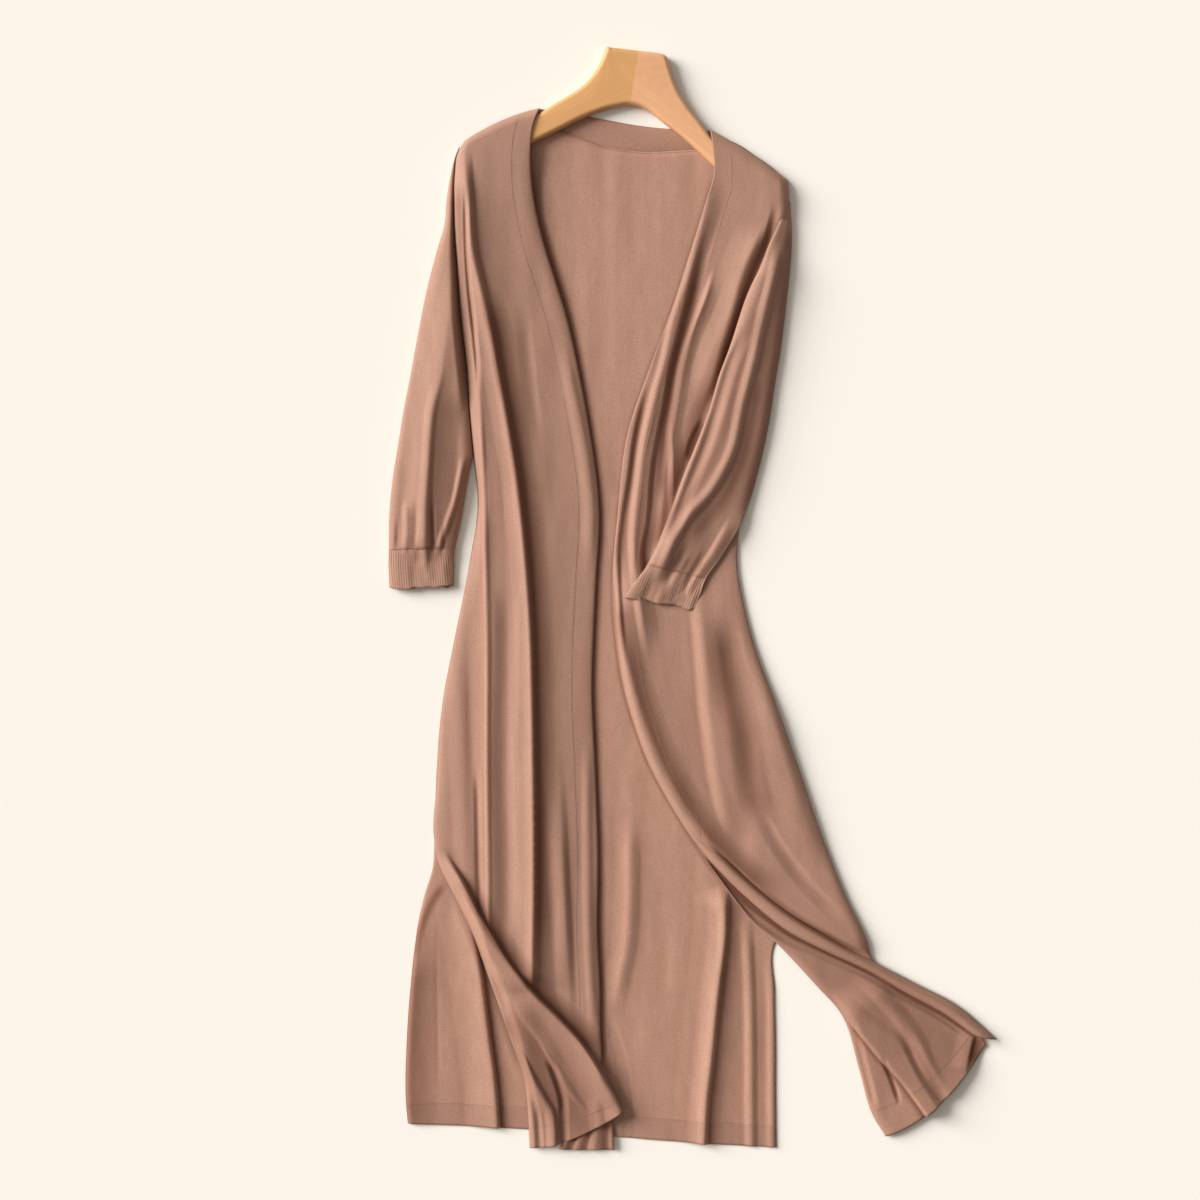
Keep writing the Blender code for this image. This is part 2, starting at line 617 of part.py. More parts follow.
def add_hanger(wood):
    """The hanger: its outline at four levels, set in at the top and bottom for the rounded edges."""
    outline = np.array([(point.x, point.y) for point in HANGER], float)
    run = np.roll(outline, -1, axis=0) - np.roll(outline, 1, axis=0)
    inward = np.stack([-run[:, 1], run[:, 0]], axis=-1) / np.linalg.norm(run, axis=1, keepdims=True)
    low = WALL + GAP
    high = low + HANGER_THICKNESS
    points = []
    for turn in np.radians([0, 45, 90]):
        inset = HANGER_BEVEL * (1 - np.sin(turn))
        level = low + HANGER_BEVEL * (1 - np.cos(turn))
        points += [(x, y, level) for x, y in outline + inward * inset]
    for turn in np.radians([90, 45, 0]):
        inset = HANGER_BEVEL * (1 - np.sin(turn))
        level = high - HANGER_BEVEL * (1 - np.cos(turn))
        points += [(x, y, level) for x, y in outline + inward * inset]
    count = len(outline)
    levels = len(points) // count
    faces = [tuple(range(count - 1, -1, -1)), tuple(range((levels - 1) * count, levels * count))]
    for level in range(levels - 1):
        for i in range(count):
            a = level * count + i
            b = level * count + (i + 1) % count
            faces.append((a, b, b + count, a + count))
    return add_object("hanger", points, faces, wood)


def main():
    for obj in list(bpy.data.objects):
        bpy.data.objects.remove(obj, do_unlink=True)
    knit = finish("knit", KNIT, 0.85)
    rib = finish("rib", RIB, 0.85)
    wood = finish("wood", WOOD, 0.4)
    add_back(knit, rib)
    shoulder = (0, 0.8, 6)
    for name, side, sections, folds, ribbon, crossing, hem_row, parting, steps in (
        ("right_front", RIGHT_SIDE, RIGHT_FRONT, RIGHT_FRONT_FOLDS, RIGHT_RIBBON, RIGHT_CROSSING,
         RIGHT_HEM_ROW, RIGHT_PARTING, 26),
        ("left_front", LEFT_SIDE, LEFT_FRONT, LEFT_FRONT_FOLDS, LEFT_RIBBON, LEFT_CROSSING,
         LEFT_HEM_ROW, LEFT_PARTING, 34),
    ):
        surface = front(side, sections, folds)
        band = band_across(band_beside(side, sections, surface), ribbon, crossing)
        rows = graded(shoulder, (shoulder[1], hem_row, steps))
        add_front(name, (side, sections, surface), band, hem_row, parting, rows, knit, rib)
    add_sleeve("right", RIGHT_SLEEVE, RIGHT_SIDE, False, RIGHT_CUFF_ROW, knit, rib)
    add_sleeve("left", LEFT_SLEEVE, LEFT_SIDE, True, LEFT_CUFF_ROW, knit, rib)
    add_hanger(wood)


main()
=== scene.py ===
# A long cardigan of fine knit, laid flat on its back round a plain wooden hanger.
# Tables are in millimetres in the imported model's frame: +X is the wearer's left, +Y the neck, +Z up.
import bpy
import numpy as np
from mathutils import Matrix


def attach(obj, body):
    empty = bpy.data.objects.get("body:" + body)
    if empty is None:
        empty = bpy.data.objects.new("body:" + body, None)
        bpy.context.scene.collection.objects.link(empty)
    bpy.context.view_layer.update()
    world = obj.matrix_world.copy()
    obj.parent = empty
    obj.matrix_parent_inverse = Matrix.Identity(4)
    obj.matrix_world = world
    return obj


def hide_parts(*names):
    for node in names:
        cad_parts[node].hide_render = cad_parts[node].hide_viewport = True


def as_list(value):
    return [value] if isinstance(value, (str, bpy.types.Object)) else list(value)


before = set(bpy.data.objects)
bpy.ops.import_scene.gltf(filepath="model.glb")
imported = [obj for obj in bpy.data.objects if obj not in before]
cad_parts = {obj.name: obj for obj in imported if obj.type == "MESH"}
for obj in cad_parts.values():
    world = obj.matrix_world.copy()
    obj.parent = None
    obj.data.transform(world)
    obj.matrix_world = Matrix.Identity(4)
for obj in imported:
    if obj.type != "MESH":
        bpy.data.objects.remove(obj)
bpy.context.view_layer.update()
print("frame loaded")

mm = 0.001
gap = 0.05  # between two pieces at a seam
floorZ = 0.75  # middle of cloth that lies on the floor
seat = 2.8  # middle of a folded edge that lies on the back
bandWidth = 22.0
hemDepth = 23.0
armholeGap = 1.8
rowLength = 30.0  # from the shoulder seam to the next row of a front's table
seamRow = 0.01  # first cell next to a seam, in rows
pathSteps = 20  # places looked at along a path, for each of its points

cloth = {
    "thickness": 1.0,
    "waveHeight": 0.5,  # slow unevenness that no fold accounts for
    "waveAcross": 17.0,
    "waveAlong": 70.0,
    "waveStops": 64,  # random heights each way, before they repeat
    "roundTop": 0.07,  # how much of a fold's width its top rounds off
    "shadeLineFall": 1.4,  # how a shade line's painted shade fades away from its path
    "creases": ((4, 3, 1.4), (12, 6, 3.2)),  # painted shade in creases: columns and rows looked across, and the depth that gets full shade
}


def table(names, rows):  # a dictionary of columns
    return dict(zip(names.split(), np.array(rows, float).T))


def follow(places, values, at):  # a smooth curve through one column of a table
    places, values = np.asarray(places, float), np.asarray(values, float)
    if places[0] > places[-1]:
        places, values = places[::-1], values[::-1]
    slopes = np.gradient(values, places)
    at = np.clip(at, places[0], places[-1])
    row = np.clip(np.searchsorted(places, at, side="right") - 1, 0, len(places) - 2)
    length = places[row + 1] - places[row]
    part = (at - places[row]) / length
    rise = part * part * (3 - 2 * part)
    start = part * (1 - part) ** 2 * length * slopes[row]
    end = part * part * (part - 1) * length * slopes[row + 1]
    return values[row] * (1 - rise) + values[row + 1] * rise + start + end


def down(rows, name, at):  # a column at fractional row numbers
    return follow(np.arange(len(rows[name])), rows[name], at)


def ease(value):
    inside = np.clip(value, 0, 1)
    return inside * inside * (3 - 2 * inside)


def drop(distance, roll):  # 1 at a rolled edge, 0 past the roll
    inside = np.clip(distance / roll, 0, 1)
    return 1 - np.sqrt(np.maximum(1 - (1 - inside) ** 2, 0))


def between(heights, low, high, soft):  # bends heights gently into a range
    low = low + soft * np.logaddexp(0, (heights - low) / soft)
    return high - soft * np.logaddexp(0, (high - low) / soft)


def fold(path, height, left, right, leftTail=0.0, rightTail=0.0, lean=0.0, fade=60.0, fadeIn=None):
    # left and right are how far it spreads to the wearer's left and right of its path. A tail of 0 is a soft
    # round side, and the higher it is the more hollow the side. lean is how far the top moves to the left.
    return {"path": np.array(path, float), "height": height, "left": left, "right": right,
            "leftTail": leftTail, "rightTail": rightTail, "lean": lean,
            "fade": fade, "fadeIn": fadeIn or fade}


def foldSide(distance, width, tail):  # 1 on the fold's path, 0 at its foot
    inside = np.clip(distance / width, 0, 1)
    if tail == 0:
        return (1 - inside ** 2) ** 2
    top = cloth["roundTop"]
    fall = np.exp(-tail * (np.sqrt(inside ** 2 + top ** 2) - top))
    foot = np.exp(-tail * (np.sqrt(1 + top ** 2) - top))
    return (fall - foot) / (1 - foot)


def shadeLine(path, left, right, strength=1.0):  # a line of painted shade, spreading to the left and right of its path
    return {"path": np.array(path, float), "left": left, "right": right, "strength": strength}


def besidePath(one, x, y):  # which points a path may reach, and where each of them lies from it
    path, reach = one["path"], max(one["left"], one["right"])
    rows, stops = np.arange(len(path)), np.linspace(0, len(path) - 1, pathSteps * len(path))
    px, py = follow(rows, path[:, 0], stops), follow(rows, path[:, 1], stops)
    near = (x > px.min() - reach) & (x < px.max() + reach) & (y > py.min() - reach) & (y < py.max() + reach)
    x, y = x[near], y[near]
    apart = np.hypot(x[:, None] - px, y[:, None] - py)
    best = apart.argmin(axis=1)
    stepX, stepY = np.gradient(px), np.gradient(py)
    stepLength = np.hypot(stepX, stepY)
    run = np.cumsum(stepLength)
    tx, ty = (stepX / stepLength)[best], (stepY / stepLength)[best]
    offX, offY = x - px[best], y - py[best]
    beside, along = tx * offY - ty * offX, run[best] + tx * offX + ty * offY
    return near, {"tx": tx, "ty": ty, "beside": beside, "along": along, "length": run[-1],
                  "apart": apart.min(axis=1), "stopsLeft": np.minimum(best, len(px) - 1 - best)}


# painted shade along the shade lines
def shadeLineShade(shadeLines, x, y):
    shade = np.zeros(x.shape)
    for one in shadeLines:
        near, at = besidePath(one, x, y)
        spread = np.where(at["beside"] > 0, one["left"], one["right"])
        value = one["strength"] * ease(at["stopsLeft"] / pathSteps)
        value = value * np.clip(1 - (at["apart"] / spread) ** cloth["shadeLineFall"], 0, 1)
        shade[near] = np.maximum(shade[near], value)
    return shade


def foldShift(folds, x, y):  # how far the folds move each point
    shift = np.zeros(x.shape + (3,))
    for one in folds:
        near, at = besidePath(one, x, y)
        aside = np.abs(at["beside"])
        size = np.where(at["beside"] > 0, foldSide(aside, one["left"], one["leftTail"]),
                        foldSide(aside, one["right"], one["rightTail"]))
        size = size * ease(at["along"] / one["fadeIn"]) * ease((at["length"] - at["along"]) / one["fade"])
        move = [-at["ty"] * one["lean"], at["tx"] * one["lean"], np.full_like(aside, one["height"])]
        shift[near] += np.stack(move, -1) * size[:, None]
    return shift


def waves(x, y, seed, across=cloth["waveAcross"], along=cloth["waveAlong"]):  # random, from -1 to 1
    stops = cloth["waveStops"]
    grid = np.random.default_rng(seed).uniform(-1, 1, (stops, stops))
    gx, gy = (x / across) % stops, (y / along) % stops
    ix, iy = np.floor(gx).astype(int), np.floor(gy).astype(int)
    fx, fy = ease(gx - ix), ease(gy - iy)
    ix, iy = ix % stops, iy % stops
    jx, jy = (ix + 1) % stops, (iy + 1) % stops
    low = grid[ix, iy] * (1 - fx) + grid[jx, iy] * fx
    high = grid[ix, jy] * (1 - fx) + grid[jx, jy] * fx
    return low * (1 - fy) + high * fy


def patch(rows, columns, first=0.0, last=1.0):  # a grid of places, s down the cloth and t across it
    s = first + (last - first) * rows[:, None] + 0 * columns
    return s, columns + 0 * s


def tightEnds(stops, first, last):  # narrow cells next to a seam, so that shading stays flat up to it
    extra = [stops[0] + np.array([1, 4]) * first, stops[-1] - np.array([4, 1]) * last]
    return np.unique(np.concatenate([stops, *extra]))


def gridNormals(points):
    normal = np.cross(np.gradient(points, axis=0), np.gradient(points, axis=1))
    return normal / np.maximum(np.linalg.norm(normal, axis=-1, keepdims=True), 1e-9)


def lengths(points, axis):
    gone = np.linalg.norm(np.diff(points, axis=axis), axis=-1)
    pad = [(0, 0), (0, 0)]
    pad[axis] = (1, 0)
    return np.cumsum(np.pad(gone, pad), axis=axis)


def blurred(values, size, axis):
    kernel = np.hanning(2 * size + 3)[1:-1]
    kernel /= kernel.sum()
    padded = np.pad(values, [(size, size) if k == axis else (0, 0) for k in (0, 1)], mode="edge")
    return np.apply_along_axis(lambda line: np.convolve(line, kernel, "valid"), axis, padded)


def creaseShade(points):  # painted shade, 1 deep in a crease, 0 on a ridge or the flat
    z = points[..., 2]
    near, far = [(blurred(blurred(z, columns, 1), rows, 0) - z) / full
                 for columns, rows, full in cloth["creases"]]
    return np.clip(np.maximum(near, far), 0, 1)


def addObject(name, data):
    made = bpy.data.objects.new(name, data)
    bpy.context.scene.collection.objects.link(made)
    return made


def setUv(mesh, name, places):  # one place in metres for each vertex
    corner = np.empty(len(mesh.loops), np.int32)
    mesh.loops.foreach_get("vertex_index", corner)
    mesh.uv_layers.new(name=name).data.foreach_set("uv", places[corner].ravel())


def clothPiece(name, points, material, replaced, ring=False, upright=False, shadeLines=()):
    # points is a grid of rows and columns in millimetres, the middle of the cloth
    rows, columns = points.shape[:2]
    index = np.arange(rows * columns).reshape(rows, columns)
    quads = np.stack([index[:-1, :-1], index[1:, :-1], index[1:, 1:], index[:-1, 1:]], -1).reshape(-1, 4)
    if gridNormals(points)[..., 2].mean() < 0 and not ring:
        quads = quads[:, ::-1]
    mesh = bpy.data.meshes.new(name)
    mesh.from_pydata((points.reshape(-1, 3) * mm).tolist(), [], quads.tolist())
    across, along = lengths(points, 1), lengths(points, 0)
    across = points[..., 0] if upright else across - across[:, -1:]
    along = np.broadcast_to(along[:, columns // 2][:, None], across.shape)
    setUv(mesh, "knit", np.stack([across, along], -1).reshape(-1, 2) * mm)
    # painted shade, darkest in creases and along the shade lines, carried by the crease attribute
    shade = np.maximum(creaseShade(points), shadeLineShade(shadeLines, points[..., 0], points[..., 1]))
    mesh.attributes.new("crease", "FLOAT", "POINT").data.foreach_set("value", shade.ravel())
    mesh.materials.append(material)
    mesh.shade_smooth()
    raw = addObject(name, mesh)
    thick = raw.modifiers.new("thickness", "SOLIDIFY")
    thick.thickness = cloth["thickness"] * mm
    thick.offset = 0.0
    return finished(raw, replaced)


def finished(raw, replaced):  # applies the modifiers and hands the piece to the frame
    name = raw.name
    raw.name = name + "Raw"
    graph = bpy.context.evaluated_depsgraph_get()
    mesh = bpy.data.meshes.new_from_object(raw.evaluated_get(graph))
    mesh.name = name
    piece = addObject(name, mesh)
    bpy.data.objects.remove(raw, do_unlink=True)
    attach(piece, "root")
    if replaced:
        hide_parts(*replaced)
    return piece


def setInputs(tree, node, inputs):  # each is a value, or another node's output
    for entry, value in inputs.items():
        if isinstance(value, bpy.types.NodeSocket):
            tree.links.new(value, node.inputs[entry])
        else:
            node.inputs[entry].default_value = value


def addNode(tree, kind, inputs=None, **settings):
    node = tree.nodes.new(kind)
    for name, value in settings.items():
        setattr(node, name, value)
    setInputs(tree, node, inputs or {})
    return node


def sumsIn(tree):
    def calc(operation, first, second=0.0):
        return addNode(tree, "ShaderNodeMath", {0: first, 1: second}, operation=operation).outputs[0]

    def add(first, second):
        return calc("ADD", first, second)

    def times(first, second):
        return calc("MULTIPLY", first, second)

    return calc, add, times


def startMaterial(name):
    material = bpy.data.materials.new(name)
    material.use_nodes = True
    return material, material.node_tree, material.node_tree.nodes["Principled BSDF"]


def mixColour(tree, share, first, second):  # inputs 6 and 7 and output 2 are the node's colours
    return addNode(tree, "ShaderNodeMix", {0: share, 6: first, 7: second}, data_type="RGBA").outputs[2]


def noiseIn(tree, source, stretch, detail, rough=0.5):
    moved = addNode(tree, "ShaderNodeMapping", {"Vector": source, "Scale": stretch}).outputs[0]
    inputs = {"Vector": moved, "Scale": 1.0, "Detail": detail, "Roughness": rough}
    return addNode(tree, "ShaderNodeTexNoise", inputs).outputs["Fac"]


def solid(colour, tint=1.0):
    return (*[channel * tint for channel in colour], 1.0)


yarn = {
    "colour": (0.415, 0.223, 0.156),
    # the deep colour: painted shade, and also the random specks
    "deep": (0.140, 0.040, 0.016),
    "light": (0.49, 0.28, 0.203),
    "shade": 0.82,  # how much of the deep colour is painted in as shade, at the bottom of a crease and on a shade line
    "uneven": 2.6,  # how strongly the tone of the yarn varies
    "wale": 0.0017,  # width of one column of stitches, in metres
    "course": 0.0013,  # height of one row
    "streaks": (230.0, 10.0, 1.0),  # how many to a metre, across and along
    "patches": (110.0, 40.0, 1.0),
    "fuzz": (620.0, 520.0, 1.0),
    "fuzzShare": 0.24,
    "grit": 0.65,  # how rough the streaks and patches are
    "loopHeight": 0.4,
    "channelDepth": 0.5,
    "stitchShadeBelow": -0.55,  # painted shade between the stitches, below this loop height
    "stitchShadeShare": 0.17,
    "speckle": 0.8,
    "speckleBelow": 0.53,
    "bump": 0.55,
    "bumpDepth": 0.0004,
    "roughness": 0.62,
    "specular": 0.3,
    "sheen": 0.12,
    "sheenRoughness": 0.45,
    "sheenTint": (0.95, 0.78, 0.66, 1.0),
}
fullTurn = 6.2832


def knitMaterial(name, tint, loose=False, streaky=0.36):
    material, tree, shader = startMaterial(name)
    calc, add, times = sumsIn(tree)
    if loose:  # thread, which has no columns of its own
        source = addNode(tree, "ShaderNodeTexCoord").outputs["Object"]
    else:
        source = addNode(tree, "ShaderNodeUVMap", uv_map="knit").outputs[0]
    split = addNode(tree, "ShaderNodeSeparateXYZ", {0: source}).outputs
    column = calc("FRACT", calc("DIVIDE", split["X"], yarn["wale"]))
    side = calc("ABSOLUTE", calc("SUBTRACT", column, 0.5))  # 0 in the middle of a wale, 0.5 between two
    row = add(calc("DIVIDE", split["Y"], yarn["course"]), side)
    channels = times(calc("COSINE", times(side, 2 * fullTurn)), -yarn["channelDepth"])
    loops = add(times(calc("SINE", times(row, fullTurn)), yarn["loopHeight"]), channels)
    streaks = noiseIn(tree, source, yarn["streaks"], 4.0, yarn["grit"])
    patches = noiseIn(tree, source, yarn["patches"], 4.0, yarn["grit"])
    fuzz = noiseIn(tree, source, yarn["fuzz"], 3.0)
    tone = add(times(streaks, streaky), times(patches, 1 - yarn["fuzzShare"] - streaky))
    tone = add(tone, times(fuzz, yarn["fuzzShare"]))
    tone = add(times(tone, yarn["uneven"]), 0.5 - yarn["uneven"] / 2)
    # painted shade: the crease attribute mixes in the deep colour
    crease = addNode(tree, "ShaderNodeAttribute", attribute_name="crease").outputs["Fac"]
    base, light, deep = [solid(yarn[name], tint) for name in ("colour", "light", "deep")]
    colour = mixColour(tree, tone, base, light)
    colour = mixColour(tree, times(crease, yarn["shade"]), colour, deep)
    # painted shade between the stitches, plus random specks from the fuzz
    shadeAndSpecks = times(calc("LESS_THAN", loops, yarn["stitchShadeBelow"]), yarn["stitchShadeShare"])
    shadeAndSpecks = add(shadeAndSpecks, times(calc("SUBTRACT", yarn["speckleBelow"], fuzz), yarn["speckle"]))
    colour = mixColour(tree, calc("MAXIMUM", shadeAndSpecks, 0.0), colour, deep)
    height = add(times(loops, 0.5), times(fuzz, 0.5))
    relief = {"Strength": yarn["bump"], "Distance": yarn["bumpDepth"], "Height": height}
    bump = addNode(tree, "ShaderNodeBump", relief)
    setInputs(tree, shader, {
        "Base Color": colour, "Normal": bump.outputs[0], "Roughness": yarn["roughness"],
        "Specular IOR Level": yarn["specular"], "Sheen Weight": yarn["sheen"],
        "Sheen Roughness": yarn["sheenRoughness"], "Sheen Tint": yarn["sheenTint"],
    })
    return material


grain = {
    "rightHalf": (0.76, 0.41, 0.165),  # the half on the wearer's right
    # lighter than the other half: partly its own wood, partly a painted highlight
    "leftHalfWithHighlight": (0.88, 0.48, 0.265),
    "dark": (0.42, 0.185, 0.055),
    "roughness": 0.5,
    "coat": 0.08,
    "coatRoughness": 0.45,
    "lines": 47.77,  # how close the grain lines are
    "stretch": (0.12, 1.0, 1.0),  # along the grain and across it
    "distortion": 6.0,
    "clouds": (9.0, 45.0, 1.0),  # how many to a metre, along and across
    "pores": (70.0, 1100.0, 1.0),
    "shares": (0.06, 0.30, 0.18),  # how dark the lines, the clouds and the pores are
    "bump": 0.2,
    "bumpDepth": 0.0003,
}


def woodMaterial():
    material, tree, shader = startMaterial("hangerWood")
    calc, add, times = sumsIn(tree)
    source = addNode(tree, "ShaderNodeUVMap", uv_map="grain").outputs[0]
    half = calc("GREATER_THAN", addNode(tree, "ShaderNodeSeparateXYZ", {0: source}).outputs["X"], 0.0)
    base = mixColour(tree, half, solid(grain["rightHalf"]), solid(grain["leftHalfWithHighlight"]))
    moved = addNode(tree, "ShaderNodeMapping", {"Vector": source, "Scale": grain["stretch"]}).outputs[0]
    waviness = {"Vector": moved, "Scale": grain["lines"], "Distortion": grain["distortion"],
                "Detail": 3.0, "Detail Scale": 1.2}
    lines = addNode(tree, "ShaderNodeTexWave", waviness, wave_type="BANDS", bands_direction="Y").outputs[1]
    clouds = noiseIn(tree, source, grain["clouds"], 4.0)
    pores = noiseIn(tree, source, grain["pores"], 2.0)
    lineShare, cloudShare, poreShare = grain["shares"]
    darkness = add(add(times(lines, lineShare), times(clouds, cloudShare)), times(pores, poreShare))
    relief = {"Strength": grain["bump"], "Distance": grain["bumpDepth"], "Height": pores}
    bump = addNode(tree, "ShaderNodeBump", relief)
    setInputs(tree, shader, {
        "Base Color": mixColour(tree, darkness, base, solid(grain["dark"])), "Normal": bump.outputs[0],
        "Roughness": grain["roughness"], "Coat Weight": grain["coat"],
        "Coat Roughness": grain["coatRoughness"],
    })
    return material


knit = knitMaterial("fineKnit", 0.93)
rib = knitMaterial("ribKnit", 0.93)
inside = knitMaterial("fineKnitInside", 1.02, streaky=0.14)
thread = knitMaterial("seamThread", 0.66, loose=True)
wood = woodMaterial()
print("materials made")


stitch = {
    "pitch": 2.8,  # from one stitch to the next
    "length": 2.2,
    "width": 0.85,
    "slant": 0.35,  # radians, one to each side in turn
    "unevenness": 0.18,
    "inset": 1.8,  # how far inside the seam
    "above": 0.45,  # over the middle of the cloth
    "seed": 4,
    "sides": 6,
    "rings": 5,
    "stops": 300,  # points along a row's path
    "clear": 0.01,  # part of the cloth that a row leaves clear at each end
}


def stitchTree():
    tree = bpy.data.node_groups.new("stitchRow", "GeometryNodeTree")
    tree.interface.new_socket("Geometry", in_out="OUTPUT", socket_type="NodeSocketGeometry")
    kinds = {"Geometry": "Geometry", "Pitch": "Float", "Length": "Float", "Width": "Float", "Slant": "Float",
             "Unevenness": "Float", "Seed": "Int", "Material": "Material"}
    for name, kind in kinds.items():
        tree.interface.new_socket(name, in_out="INPUT", socket_type="NodeSocket" + kind)
    calc, add, times = sumsIn(tree)
    given = addNode(tree, "NodeGroupInput").outputs
    curve = addNode(tree, "GeometryNodeMeshToCurve", {"Mesh": given["Geometry"]}).outputs[0]
    spacing = {"Curve": curve, "Length": given["Pitch"]}
    points = addNode(tree, "GeometryNodeResampleCurve", spacing, mode="LENGTH").outputs[0]
    tangent = addNode(tree, "GeometryNodeInputTangent").outputs[0]
    along = addNode(tree, "FunctionNodeAlignRotationToVector", {"Vector": tangent}, axis="X").outputs[0]
    number = addNode(tree, "GeometryNodeInputIndex").outputs[0]
    side = add(times(calc("PINGPONG", number, 1.0), 2.0), -1.0)  # -1 and 1 in turn
    slant = {"Axis": (0, 0, 1), "Angle": times(side, given["Slant"])}
    spin = addNode(tree, "FunctionNodeAxisAngleToRotation", slant).outputs[0]
    turn = addNode(tree, "FunctionNodeRotateRotation", {0: along, 1: spin}, rotation_space="LOCAL").outputs[0]
    halfLength, halfWidth = times(given["Length"], 0.5), times(given["Width"], 0.5)
    size = addNode(tree, "ShaderNodeCombineXYZ", {"X": halfLength, "Y": halfWidth, "Z": halfWidth}).outputs[0]
    least, most = calc("SUBTRACT", 1.0, given["Unevenness"]), add(1.0, given["Unevenness"])
    limits = {2: least, 3: most, "Seed": given["Seed"]}
    uneven = addNode(tree, "FunctionNodeRandomValue", limits, data_type="FLOAT").outputs[1]
    scaled = addNode(tree, "ShaderNodeVectorMath", {0: size, "Scale": uneven}, operation="SCALE").outputs[0]
    shape = {"Segments": stitch["sides"], "Rings": stitch["rings"], "Radius": 1.0}
    bead = addNode(tree, "GeometryNodeMeshUVSphere", shape).outputs["Mesh"]
    bead = addNode(tree, "GeometryNodeSetShadeSmooth", {0: bead}).outputs[0]
    placing = {"Points": points, "Instance": bead, "Rotation": turn, "Scale": scaled}
    whole = addNode(tree, "GeometryNodeInstanceOnPoints", placing).outputs[0]
    whole = addNode(tree, "GeometryNodeRealizeInstances", {0: whole}).outputs[0]
    paint = {"Geometry": whole, "Material": given["Material"]}
    whole = addNode(tree, "GeometryNodeSetMaterial", paint).outputs[0]
    addNode(tree, "NodeGroupOutput", {0: whole})
    return tree


stitches = stitchTree()


def stitchRow(name, path):  # a row of stitches lying on the cloth, along a path in millimetres
    path = path + np.array([0, 0, stitch["above"]])
    mesh = bpy.data.meshes.new(name)
    mesh.from_pydata((path * mm).tolist(), [(k, k + 1) for k in range(len(path) - 1)], [])
    raw = addObject(name, mesh)
    modifier = raw.modifiers.new("stitches", "NODES")
    modifier.node_group = stitches
    given = {"Pitch": stitch["pitch"] * mm, "Length": stitch["length"] * mm, "Width": stitch["width"] * mm,
             "Slant": stitch["slant"], "Unevenness": stitch["unevenness"], "Seed": stitch["seed"],
             "Material": thread}
    for item in stitches.interface.items_tree:
        if item.in_out == "INPUT" and item.name in given:
            modifier[item.identifier] = given[item.name]
    return finished(raw, None)


backRidge = [
    (34, -322), (34, -345), (33, -385), (25, -452), (18, -520), (12, -576), (8, -680),
]

